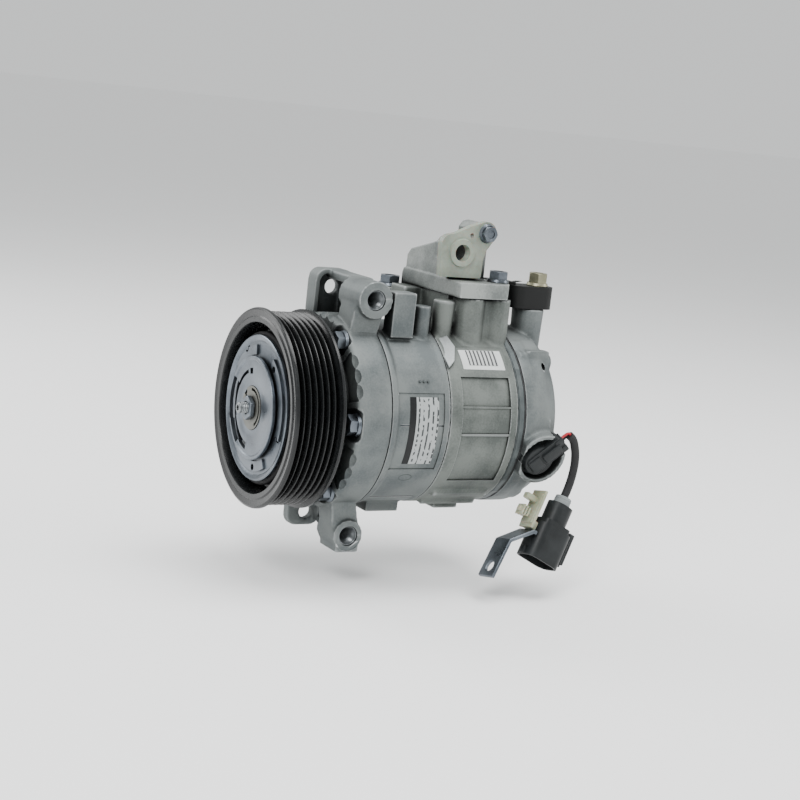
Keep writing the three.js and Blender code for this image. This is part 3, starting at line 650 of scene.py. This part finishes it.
# The same foil printed solid: a smooth dark band beside the rules.
black_print = grained(
    "black_printed_foil", "141516", "1e1f20", {"Specular IOR Level": 0.22}, 1.5, 0.1, rough=(0.32, 0.42),
)
PLATE_FROM, PLATE_TO = -24, 19
field = arc(50.75, 51.08, 73.9, 87.9, PLATE_FROM, PLATE_TO, 32)
piece("data_plate", field, foil, "housing", crease=50)
band = arc(50.75, 51.1, 70, 73.8, PLATE_FROM, PLATE_TO, 32)
piece("data_plate_band", band, black_print, "housing", crease=50)

# Cylinder casting
# The block that holds the bores, with stacked pads on its near side and port bosses on top.
# each recess: its first and last angle, and the radius of its floor
RECESSES = [(13.8, 32, 51.3), (-3, 12.6, 51.75), (-37, -4.3, 51.45)]
pads = [arc(49, 52.4, 99.5, 135, a0, a1, 24) for a0, a1 in ((33.2, 54), (-37.5, 33.2))]
gussets = [
    slab("x", [(121.5, 68.6), (127.5, 68.6), (131.5, 46), (115.5, 46)], 12, 25.5),
    bar("z", 5.2, 44, 67, 20.5, 101, 32, 6.2),
    block((-44, -26), (104, 132), (34, 50)),
]
under = []
for angle in (-50, -66):
    x, _, z = spot_on(51.5, 0, angle)
    under.append(bar("y", 3, 99, 134, x, z, 24))
cylinders = casting("cylinder_block", [*pads, *gussets, *under], voxel=0.92, rounds=3)
ledges = together(*[arc(depth, 60, 102.5, 133.5, a0, a1, 24) for a0, a1, depth in RECESSES])
cylinders = carved(cylinders, ledges)
piece("cylinder_casting", cylinders, block_casting, "housing", ["cylinder_block"])

# the facet at the joint, in milled aluminium: left paler and shinier by the cutter
bright_mill = grained("milled_aluminium", "6b6f6f", "8a8e8e", {"Metallic": 0.85}, 0.9, 0.5, rough=(0.36, 0.5))
facet = bmesh.new()
for point in (
    (17.5, 95.5, 49.8), (23, 101.5, 49.4), (43.2, 95.5, 32.4), (33, 103.5, 43), (41, 99.5, 35.3),
    (16, 95.6, 44), (21, 101, 44), (37, 95.6, 28), (36, 101, 34),
):
    facet.verts.new(at(*point))
bmesh.ops.convex_hull(facet, input=facet.verts)
bmesh.ops.delete(facet, geom=[v for v in facet.verts if not v.link_faces], context="VERTS")
bmesh.ops.recalc_face_normals(facet, faces=facet.faces)
piece("milled_facet", facet, bright_mill, "housing", edge=0.5)

# Stock label
# A white paper label on the upper pad, with even grey bars in place of any code.
# Printed paper: even dark bars on a matt, slightly grey white.
paper_label = ruled("matt_paper_label", "b4b7b6", "2c2e30", 2.5, 0.46, 60)
# Plain paper: the brightest and flattest white on the body.
white_paper = grained("white_paper", "bfc2c1", "cdd0cf", {"Roughness": 0.6}, 2, 0.1)
label = arc(52.1, 52.6, 105.5, 132.6, 37, 51, 24)
piece("stock_label_edge", label, white_paper, "housing", crease=50)
label_bars = arc(52.15, 52.85, 110, 128.6, 39.8, 50.6, 24)
piece("stock_label_bars", label_bars, paper_label, "housing", crease=50)

# Valve stack
# A reed plate, a valve plate and a rubber-coated gasket, clamped between block and head.
# Sheared steel: dull and dark grey, so the plates' edges read as one line between the castings.
sheared_steel = grained(
    "sheared_steel_edge", "4c5253", "656b6b", {"Metallic": 0.8}, 1, 0.3, rough=(0.45, 0.6),
)
# Rubber-coated steel sheet: near black and matt, the dark half of that line.
coated_sheet = grained("rubber_coated_steel_sheet", "1d1e1f", "2b2c2d", {}, 0.8, 0.3, rough=(0.5, 0.65))
for stack_name, finish in (
    ("suction_reed_plate", sheared_steel), ("valve_plate", sheared_steel), ("head_gasket", coated_sheet),
):
    nodes[stack_name].data.materials.clear()
    nodes[stack_name].data.materials.append(finish)

# Rear head
# A thick cup over the valve plate, with the control valve's pocket and the rear port's boss.
ridges = [
    slab("z", rounded(28, 150, 36, 166, 3), 30, 42),
    bar("y", 7, 146, 168, 30, 35, 24, 5),
    arc(44, 52.3, 146.2, 151, -60, 62, 48),
]
for i in range(6):
    rib = block((14, 36), (165, 173.6), (-1.3, 1.3))
    ridges.append(move_to(rib, Matrix.Rotation(-math.radians(BOLT_START + BOLT_STEP * i), 4, "Y")))
ridges.append(bar("y", 17, 160, 174.2, 0, 0, 64, 15.6))
head = casting("rear_housing", ridges, voxel=0.75)
side_hole = bar("x", 1.9, 30, 60, 160.2, 33.6, 24)
boss_dish = bar("y", 9.5, 172.6, 180, 0, 0, 64)
head = carved(head, side_hole, boss_dish)
piece("rear_casting", head, body_casting, "housing", ["rear_housing"])

# Through bolts and other fasteners
# Cold-headed hex flange bolts, zinc plated, each with a chamfered head and a dished top.
def flange_bolt(axis, flats, seat, height, a, b, sign=-1, flange=1.25):
    """A hex head on a flange. The head rises from its seat along the axis, towards sign."""
    def run(start, end):
        """Two heights above the seat as limits along the axis, lower one first."""
        return sorted((seat + sign * start, seat + sign * end))

    r = flats / math.sqrt(3)
    hexagon = bar(axis, r, *run(0.2, height), a, b, 6)
    cone_r = (r * 0.86, r * 1.6) if sign < 0 else (r * 1.6, r * 0.86)
    chamfer = bar(axis, cone_r[0], *run(height - 2.6, height), a, b, 48, cone_r[1])
    held = bpy.data.meshes.new("hexagon")
    hexagon.to_mesh(held)
    hexagon.free()
    cone_mesh = bpy.data.meshes.new("cone")
    full = together(chamfer, bar(axis, r * 1.6, *run(0, height - 2.6), a, b, 48))
    full.to_mesh(cone_mesh)
    full.free()
    cone = bpy.data.objects.new("cone", cone_mesh)
    scene.collection.objects.link(cone)
    crown = shaped(
        held, [("BOOLEAN", {"object": cone, "operation": "INTERSECT", "solver": "EXACT", "use_self": True})],
    )
    bpy.data.objects.remove(cone)
    result = bmesh.new()
    result.from_mesh(crown)
    dish = bar(axis, r * 0.52, *run(height - 0.5, height + 1), a, b, 32)
    result = carved(result, dish)
    skirt = (r * flange, r * 1.02) if sign > 0 else (r * 1.02, r * flange)
    return together(result, bar(axis, skirt[0], *run(0, 1.5), a, b, 48, skirt[1]))


HEAD_SEAT = 39.3
# Yellow passivated zinc: the one warm-coloured screw, at the rear port.
yellow_zinc = grained(
    "yellow_passivated_zinc", "7c7a64", "a5a28a", {"Metallic": 0.85}, 1.2, 0.25, rough=(0.32, 0.48),
)
for i in range(1, 7):
    name = "through_bolt_%d" % i
    low_corner, high_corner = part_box(name)
    x = (low_corner.x + high_corner.x) / 2 / MM
    z = (low_corner.z + high_corner.z) / 2 / MM
    head_top = (low_corner.y - FACE) / MM
    bolt_head = flange_bolt("y", 10, HEAD_SEAT, HEAD_SEAT - head_top, x, z, -1, 1.14)
    bolt = together(bolt_head, bar("y", 3, 38, 155.5, x, z, 24))
    piece("hex_bolt_%d" % i, bolt, zinc_plate, "housing", [name], 0.15)
for name, title, seat, reach, flats, finish in (
    ("manifold_bolt_1", "manifold_screw_1", 66.3, 6, 11, zinc_plate),
    ("manifold_bolt_2", "manifold_screw_2", 78.3, 6, 10, zinc_plate),
    ("manifold_bolt_3", "manifold_screw_3", 78.3, 6, 10, zinc_plate),
    ("rear_port_bolt", "rear_port_screw", 76.8, 7.2, 10, yellow_zinc),
):
    low_corner, high_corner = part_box(name)
    x = (low_corner.x + high_corner.x) / 2 / MM
    y = ((low_corner.y + high_corner.y) / 2 - FACE) / MM
    shank = bar("z", 3, low_corner.z / MM, seat + 0.5, x, y, 24)
    screw = together(flange_bolt("z", flats, seat, reach, x, y, 1, 1.1), shank)
    piece(title, screw, finish, "housing", [name], 0.15)

# Ear bushes
# Steel sleeves pressed into the near ears, with screw-thread coils down the bore.
def drum(profile, steps=128):
    """A turned piece about the shaft axis. The profile is a closed list of (radius, y)."""
    bm = bmesh.new()
    verts = [bm.verts.new(at(0, y, r)) for r, y in profile]
    edges = [bm.edges.new((a, b)) for a, b in zip(verts, verts[1:] + verts[:1])]
    bmesh.ops.spin(
        bm, geom=verts + edges, cent=(0, 0, 0), axis=(0, 1, 0), angle=2 * math.pi,
        steps=steps, use_merge=True, use_duplicate=False,
    )
    bmesh.ops.remove_doubles(bm, verts=bm.verts, dist=0.002 * MM)
    bmesh.ops.recalc_face_normals(bm, faces=bm.faces)
    return bm


# Ground steel: pale and bright with fine clouding, the shiniest metal here.
ground_steel = grained("ground_steel", "6f7375", "94989a", {"Metallic": 0.95}, 0.9, 0.3, rough=(0.28, 0.42))
for name, title, (y, z) in (
    ("top_ear_bush", "upper_sleeve", TOP_EAR), ("low_ear_bush", "lower_sleeve", LOW_EAR),
):
    coils = []
    for i in range(11):
        start = 11.8 + 1.6 * i
        coils += [(4.1, start), (4.85, start + 0.8)]
    sleeve = drum([(5.5, 10), (4.6, 10), *coils, (5, 29.2), (5.5, 29.2)], 64)
    move_to(sleeve, placed(at(0, y, z), Matrix.Rotation(-math.pi / 2, 4, "Z")))
    piece(title, sleeve, ground_steel, "housing", [name], 0.3)

# Pulley
# One moulding with seven V grooves and a deep front rim, turning on its own ball bearing.
# Phenolic resin, moulded: near black and scuffed, with painted shade in the grooves and a painted grey
# highlight along the crests.
resin, tree, shader, place = new_material("moulded_phenolic_resin", {"Specular IOR Level": 0.32})
scuff = put(tree, "ShaderNodeTexNoise", {"Scale": 1 / (4 * MM), "Detail": 3.0}, {"Vector": place})
spread = put(tree, "ShaderNodeMapRange", {"To Min": 0.16, "To Max": 0.36}, {"Value": scuff.outputs["Fac"]})
rub = put(
    tree, "ShaderNodeMix", {"data_type": "RGBA", 6: linear("111213"), 7: linear("1d1f20")},
    {0: scuff.outputs["Fac"]},
)
shape = put(tree, "ShaderNodeNewGeometry")
painted_crest_highlight = put(
    tree, "ShaderNodeMapRange", {"From Min": 0.6, "From Max": 0.72}, {"Value": shape.outputs["Pointiness"]},
)
highlit_crest = put(
    tree, "ShaderNodeMix", {"data_type": "RGBA", 7: linear("5d6263")},
    {0: painted_crest_highlight.outputs["Result"], 6: rub.outputs[2]},
)
# painted shade in the grooves and gaps up to 7 mm wide
tree.links.new(painted_corner_shade(tree, highlit_crest.outputs[2], 7, 0.05), shader.inputs["Base Color"])
tree.links.new(spread.outputs["Result"], shader.inputs["Roughness"])
height = put(
    tree, "ShaderNodeBump", {"Strength": 0.08, "Distance": 0.04 * MM}, {"Height": scuff.outputs["Fac"]},
)
tree.links.new(height.outputs["Normal"], shader.inputs["Normal"])
WIDTH = 29.5
RIM_R = 55
GROOVE_PITCH = 3.56
GROOVES = 7
CREST_R = 53.2
ROOT_R = 49.9
LAND = (WIDTH - GROOVES * GROOVE_PITCH) / 2
wheel = [(47, 0.2), (49.6, 0), (50.4, 0.55), (53.6, 0), (54.7, 0.5), (RIM_R, 1.2), (RIM_R, LAND - 0.2)]
for i in range(GROOVES):
    start = LAND + i * GROOVE_PITCH
    mid = start + GROOVE_PITCH / 2
    wheel += [
        (CREST_R, start + 0.2), (CREST_R - 0.3, start + 0.42),
        (ROOT_R + 0.2, mid - 0.28), (ROOT_R, mid), (ROOT_R + 0.2, mid + 0.28),
        (CREST_R - 0.3, start + GROOVE_PITCH - 0.42), (CREST_R, start + GROOVE_PITCH - 0.2),
    ]
wheel += [
    (RIM_R, WIDTH - LAND + 0.2), (RIM_R, 28.7), (54.6, 29.4), (47, WIDTH), (46, 24), (31, 24), (31, 28),
    (27.4, 28),
]
wheel += [(27.4, 9), (31, 9), (31, 15), (42.5, 15), (45.2, 14.2), (46.3, 12.5), (46.6, 1)]
piece("ribbed_pulley", drum(wheel, 192), resin, "rotor", ["pulley"], crease=28)

# Damper and hub
# A moulded rubber ring drives a pressed, zinc-plated plate, an inner plate and the keyed hub.
# EPDM rubber, moulded: the deepest matt black, so the ring falls back behind the plate.
damper_rubber = grained(
    "moulded_epdm_rubber", "0d0d0e", "171718", {"Specular IOR Level": 0.22}, 1, 0.4, rough=(0.6, 0.8),
)
damper = drum([(32, 4), (33, 3.6), (41, 3.6), (42, 4.4), (42, 14.7), (32, 14.7)], 96)
piece("rubber_damper", damper, damper_rubber, "rotor", ["damper_ring"], 0.3)
outer_plate = drum(
    [(24, 2.2), (29, 2.2), (30.2, 2.6), (36.5, 2.6), (38, 1.5), (39.5, 1.3), (40, 1.7), (40, 3.2), (24, 3.3)],
    128,
)
# rivet holes as (x, z), and the window and the raised pads as first and last angles
RIVETS = [(-17.6, 29.7), (19, 24.5), (29.5, -11.2), (3.6, -32.3), (-34, -10)]
SLOT = (151, 236)
PADS = [(-20, 60), (99, 146), (240, 300)]
raised = [arc(29.2, 34.6, 1.3, 2.9, a0, a1, 24) for a0, a1 in PADS]
window = arc(19.5, 29.6, -1, 6, *SLOT, 24)
rivets = together(*[bar("y", 1.9, -2, 6, x, z, 24) for x, z in RIVETS])
outer_plate = carved(together(outer_plate, *raised), rivets, window, self_crossing=True)
piece("pressed_hub_plate", outer_plate, zinc_plate, "rotor", ["hub_plate"], 0.35)
inner_plate = drum(
    [
        (12.2, 0.2), (12.2, -0.7), (16, -0.7), (17, -1), (26, -1), (26.8, -1.6), (28.2, -1.6), (28.5, -1.2),
        (28.5, 0.2), (27, 1.1), (12.2, 1.1),
    ],
    128,
)
slots = [
    arc(19.8, 27.9, -3, 3, 151, 203, 20),
    arc(20.2, 27.2, -3, 3, 202.9, 236, 16),
    arc(20.2, 24.4, -3, 3, 235.9, 262, 12),
    arc(19.4, 21.4, -3, 3, 112, 152, 16),
    arc(18.6, 21.8, -3, 3, 96, 106, 8),
]
piece("inner_hub_plate", carved(inner_plate, *slots), zinc_plate, "rotor", ["inner_plate"], 0.3)
# Sintered steel: duller and warmer than the plated plates round it, with painted shade in its corners.
hub_steel = grained(
    "sintered_steel", "5f605c", "7e7e78", {"Metallic": 0.8}, 0.9, 0.4, rough=(0.4, 0.55), reach=3,
)
hub_turned = drum(
    [
        (5.7, 0.7), (3.4, 0.7), (3.4, -1.1), (12, -1.1), (12, 1.6), (23.4, 1.6), (23.4, 4), (12, 4),
        (12, 8.5), (5.7, 8.5),
    ],
    96,
)
hub_cuts = [
    arc(19.6, 27, 1, 6, *SLOT, 24), arc(9.4, 10.9, -3, 1, -58, 98, 32), bar("y", 1.9, -3, 4, -8.6, 7.4, 32),
    bar("y", 1.2, -3, 4, -7.2, 5, 24),
]
piece("keyed_hub", carved(hub_turned, *hub_cuts), hub_steel, "rotor", ["hub"], 0.25)
nut = carved(bar("y", 6.9, -4.4, -1.4, 0, 0, 6), bar("y", 3.4, -6, 1, 0, 0, 48))
piece("centre_nut", nut, zinc_plate, "rotor", ["shaft_nut"], 0.5)

# Shaft, seal and bearings
# A ground shaft with a hex socket in its threaded nose, running in needle bearings behind a lip seal.
NOSE = -9
thread = []
for i in range(9):
    y = NOSE + 1.2 + i
    thread += [(3.1, y), (2.75, y + 0.5)]
shaft_line = [
    (0, NOSE), (2.5, NOSE), (3, NOSE + 0.5), *thread, (3.1, 1.3), (5.4, 1.4), (5.4, 8.8), (7.5, 9.6),
    (7.5, 134), (6.8, 135), (0, 135),
]
shaft = carved(drum(shaft_line, 64), bar("y", 1.7, NOSE - 1, NOSE + 4, 0, 0, 6))
piece("ground_shaft", shaft, ground_steel, "rotor", ["drive_shaft"], 0.1)
# Oiled bearing steel: almost black, with a low gleam deep behind the hub.
bearing_steel = grained(
    "oiled_bearing_steel", "121314", "202122", {"Metallic": 0.8}, 0.9, 0.2, rough=(0.3, 0.4),
)
for name, title, r0, r1, y0, y1, body, finish, slot in (
    ("shaft_seal", "lip_seal", 7.9, 12.7, 12.3, 21.7, "housing", damper_rubber, "black_rubber"),
    (
        "front_shaft_bearing", "front_needle_cup", 7.9, 12.5, 25.3, 38.5, "housing", ground_steel,
        "machined_steel",
    ),
    (
        "rear_shaft_bearing", "rear_needle_cup", 7.9, 12.5, 118.3, 134, "housing", ground_steel,
        "machined_steel",
    ),
    ("bearing_snap_ring", "snap_ring", 17.6, 20.5, 26.3, 27.6, "housing", bearing_steel, "spring_steel"),
):
    ring = drum([(r0, y0), (r1, y0), (r1, y1), (r0, y1)], 64)
    piece(title, ring, finish, body, [name], 0.3)
BALL_CIRCLE_R = 22.5
BALL_Y = 18
BALL_R = 2.45
BALLS = 7
groove_line = []
for i in range(24):
    turned = i * math.pi / 12
    groove_line.append((BALL_CIRCLE_R + 3 * math.cos(turned), BALL_Y + 3 * math.sin(turned)))
for name, title, r0, r1, body in (
    ("bearing_outer_ring", "outer_race", 24.3, 27.1, "rotor"),
    ("bearing_inner_ring", "inner_race", 17.6, 20.7, "housing"),
):
    race = carved(drum([(r0, 10), (r1, 10), (r1, 26), (r0, 26)], 96), drum(groove_line, 96))
    piece(title, race, bearing_steel, body, [name], 0.2)
# black rubber lip on each side of the balls, moulded to the outer race
lips = [drum([(21, y), (24.4, y), (24.4, y + 0.8), (21, y + 0.5)], 96) for y in (10.3, 24.6)]
piece("bearing_lips", together(*lips), damper_rubber, "rotor", edge=0.1)
# Cage resin, moulded: a warm brown between the rings, hidden behind the lips.
cage_resin = grained("moulded_cage_resin", "6d5a2c", "8c763e", {}, 1, 0.2, rough=(0.4, 0.5))
balls = []
for i in range(BALLS):
    ball = bmesh.new()
    bmesh.ops.create_uvsphere(ball, u_segments=24, v_segments=16, radius=BALL_R * MM)
    bmesh.ops.translate(ball, vec=at(*spot_on(BALL_CIRCLE_R, BALL_Y, 360 * i / BALLS)), verts=ball.verts)
    balls.append(ball)
cage = together(drum([(21.6, 15.6), (23.4, 15.6), (23.4, 20.4), (21.6, 20.4)], 96), *balls)
piece("ball_row_set", cage, cage_resin, "ball_row", ["ball_cage"])
hinge_lugs = []
for side in (-18.8, 18.8):
    for xs in ((-7.5, -3), (3, 7.5)):
        hinge_lugs.append(block(xs, (46, 55), (side - 3.7, side + 3.7), 0.6))
lug_line = [(7.8, 40.6), (33, 40.6), (33, 46), (31.5, 47), (12, 47), (12, 52), (7.8, 52)]
lug = together(drum(lug_line, 96), *hinge_lugs)
piece("lug_disc", lug, ground_steel, "rotor", ["lug_plate"], 0.3)

# Swash plate and pistons
# A hard-coated alloy disc that tilts, and six forged pistons that bridge its rim.
# Hard-anodised alloy: a warm grey satin film on the sliding parts.
coated_alloy = grained(
    "hard_anodised_aluminium", "6e6a63", "8b867d", {"Metallic": 0.7}, 0.9, 0.3, rough=(0.34, 0.48),
)
swash = drum(
    [
        (12, 78.5), (14.5, 78.5), (16, 80.5), (38, 80.5), (38.5, 81), (38.5, 87), (38, 87.5), (16, 87.5),
        (14.5, 89.5), (12, 89.5),
    ],
    128,
)
piece("tilting_disc", swash, coated_alloy, "swash", ["swash_plate"], 0.2)
BLOCK_END = 138.9
SWASH_Y = 84
BRIDGE = 18.5  # the slot in each piston that spans the disc's rim
PISTON_R = 14.7
PISTON_CIRCLE_R = 32.5
bridge_start = SWASH_Y - BRIDGE / 2
piston_line = [
    (0, bridge_start - 4.5), (PISTON_R - 0.5, bridge_start - 4.5), (PISTON_R, bridge_start - 4),
    (PISTON_R, BLOCK_END - 6), (PISTON_R - 1, BLOCK_END - 6), (PISTON_R - 1, BLOCK_END - 4.5),
    (PISTON_R, BLOCK_END - 4.5), (PISTON_R, BLOCK_END - 0.8),
    (PISTON_R - 0.5, BLOCK_END - 0.3), (0, BLOCK_END - 0.3),
]
for i in range(1, 7):
    angle = 31 + 60 * (i - 1)
    bridge = block((-20, 7.5), (bridge_start, bridge_start + BRIDGE), (-20, 20))
    front_flat = block((-20, -7), (bridge_start - 6, bridge_start + 1), (-20, 20))
    forged = carved(drum(piston_line, 64), bridge, front_flat)
    turned = Matrix.Rotation(-math.radians(angle), 4, "Y")
    move_to(forged, placed(at(*spot_on(PISTON_CIRCLE_R, 0, angle)), turned))
    body = "piston_body_%d" % i
    piece("forged_piston_%d" % i, forged, coated_alloy, body, ["piston_%d" % i], 0.25)

# Control valve
# A turned valve body in the rear head, its sliding spool, and a moulded plug with a latch.
VALVE_TURN = math.radians(-18)
VALVE_Y = 157
valve_frame = placed(at(0, VALVE_Y, 0), Matrix.Rotation(-VALVE_TURN, 4, "Y"))
valve = carved(
    together(bar("x", 9, 8, 42, 0, 0, 64), bar("x", 6.5, 41.8, 47, 0, 0, 48)),
    bar("x", 3.6, 4, 30, 0, 0, 48),
    self_crossing=True,
)
piece(
    "valve_barrel", move_to(valve, valve_frame), ground_steel, "housing",
    ["control_valve_body"], 0.4,
)
spool = bar("x", 3.2, 10, 29, 0, 0, 48)
piece(
    "valve_spool", move_to(spool, valve_frame), ground_steel, "valve_spool",
    ["control_valve_plunger"], 0.4,
)
plug_turned = valve_frame @ placed(at(0, 0, 0), Matrix.Rotation(math.pi / 4, 4, "X"))
plug = together(
    bar("x", 12.4, 47.3, 50.4, 0, 0, 64),
    bar("x", 9.6, 50, 55.6, -1.5, 0, 64, 8.9),
    slab("x", rounded(-8, -5.6, 15.5, 5.6, 2), 49, 56.6),
    block((56, 58.2), (1, 13), (-3, 3), 0.5),
    block((56.2, 57.5), (-8, 0), (-4.2, 4.2), 0.5),
    block((51, 57.4), (11, 16.4), (-5, -1.2), 0.5),
    block((51, 57.4), (11, 16.4), (1.2, 5), 0.5),
)
piece("latched_plug", move_to(plug, plug_turned), glass_nylon, "housing", ["valve_plug"], 0.4)

# Manifold
# A separate block for the pipes, cast with a rougher skin and bolted onto the cylinder casting.
# Sand-blasted aluminium: the palest casting, so the manifold stands apart from the body.
manifold_casting = die_cast("sand_blasted_aluminium", "6b706e", "9ca09d")
manifold = casting("manifold_block", [], voxel=0.6, limit=0)
piece("manifold_casting", manifold, manifold_casting, "housing", ["manifold_block"])

# Port cover and rear cap
# A milky nylon shipping cover on the side port, and a rubber cap with a pull tab on the rear port.
# Unfilled nylon, moulded: a cloudy off-white with light scattered inside it.
cloudy = {"Subsurface Weight": 0.3, "Subsurface Scale": 2 * MM}
cover_nylon = grained("moulded_shipping_nylon", "737a6f", "90978a", cloudy, 2, 0.2, rough=(0.34, 0.46))
PORT_AT = (110.8, 93.3)
SCREW_AT = (125.8, 105)


def curve_to(start, end, centre, r, steps=14):
    """Points on an arc about a centre, between two angles in degrees."""
    angles = [math.radians(start + (end - start) * i / steps) for i in range(steps + 1)]
    return [(centre[0] + r * math.cos(a), centre[1] + r * math.sin(a)) for a in angles]


drop = [
    (98.6, 79.6), (99.2, 79.4), (124.4, 79.4), (125.2, 80.4), (125.2, 90), (127, 95.4),
    *curve_to(-40, 108, SCREW_AT, 6.5), (116, 108.6), (106, 104), *curve_to(110, 180, (104, 97), 6.5, 8),
]
cover = together(
    slab("x", drop, 12.3, 16.6),
    bar("x", 8.4, 15.6, 18.2, *PORT_AT, 64, 7.6),
    bar("x", 5.4, 16, 17.4, *SCREW_AT, 48),
)
cover_holes = [
    bar("x", 4.8, 10, 30, *PORT_AT, 64), bar("x", 3.2, 10, 30, *SCREW_AT, 32),
    bar("x", 1.3, 10, 30, 116.4, 103.3, 24),
]
cover = carved(cover, *cover_holes, self_crossing=True)
piece("shipping_cover", cover, cover_nylon, "housing", ["port_cover"], 0.5)
cover_screw = together(
    flange_bolt("x", 8, 17.5, 4.1, *SCREW_AT, 1, 1.2), bar("x", 2.8, 0.5, 17.8, *SCREW_AT, 24),
)
piece("cover_screw", cover_screw, zinc_plate, "housing", ["port_cover_bolt"], 0.15)
# NBR rubber, moulded: black with a slight sheen along its edges.
cap_rubber = grained(
    "moulded_nbr_rubber", "0b0c0c", "151616", {"Specular IOR Level": 0.22}, 1, 0.3, rough=(0.45, 0.62),
)
cap = together(
    slab("z", rounded(1.5, 148.5, 18.5, 176.5, 7, 10), 63.7, 76.5),
    slab("z", [(-7, 138.5), (4, 138.5), (12, 152), (-2, 153)], 71, 78),
    slab("x", [(146, 76), (150, 76), (161, 78), (158, 78)], 2, 5),
)
cap = carved(cap, bar("z", 3.4, 50, 90, 10, 168, 32), self_crossing=True)
piece("rear_cap", cap, cap_rubber, "housing", ["rear_port_cap"], 0.6)
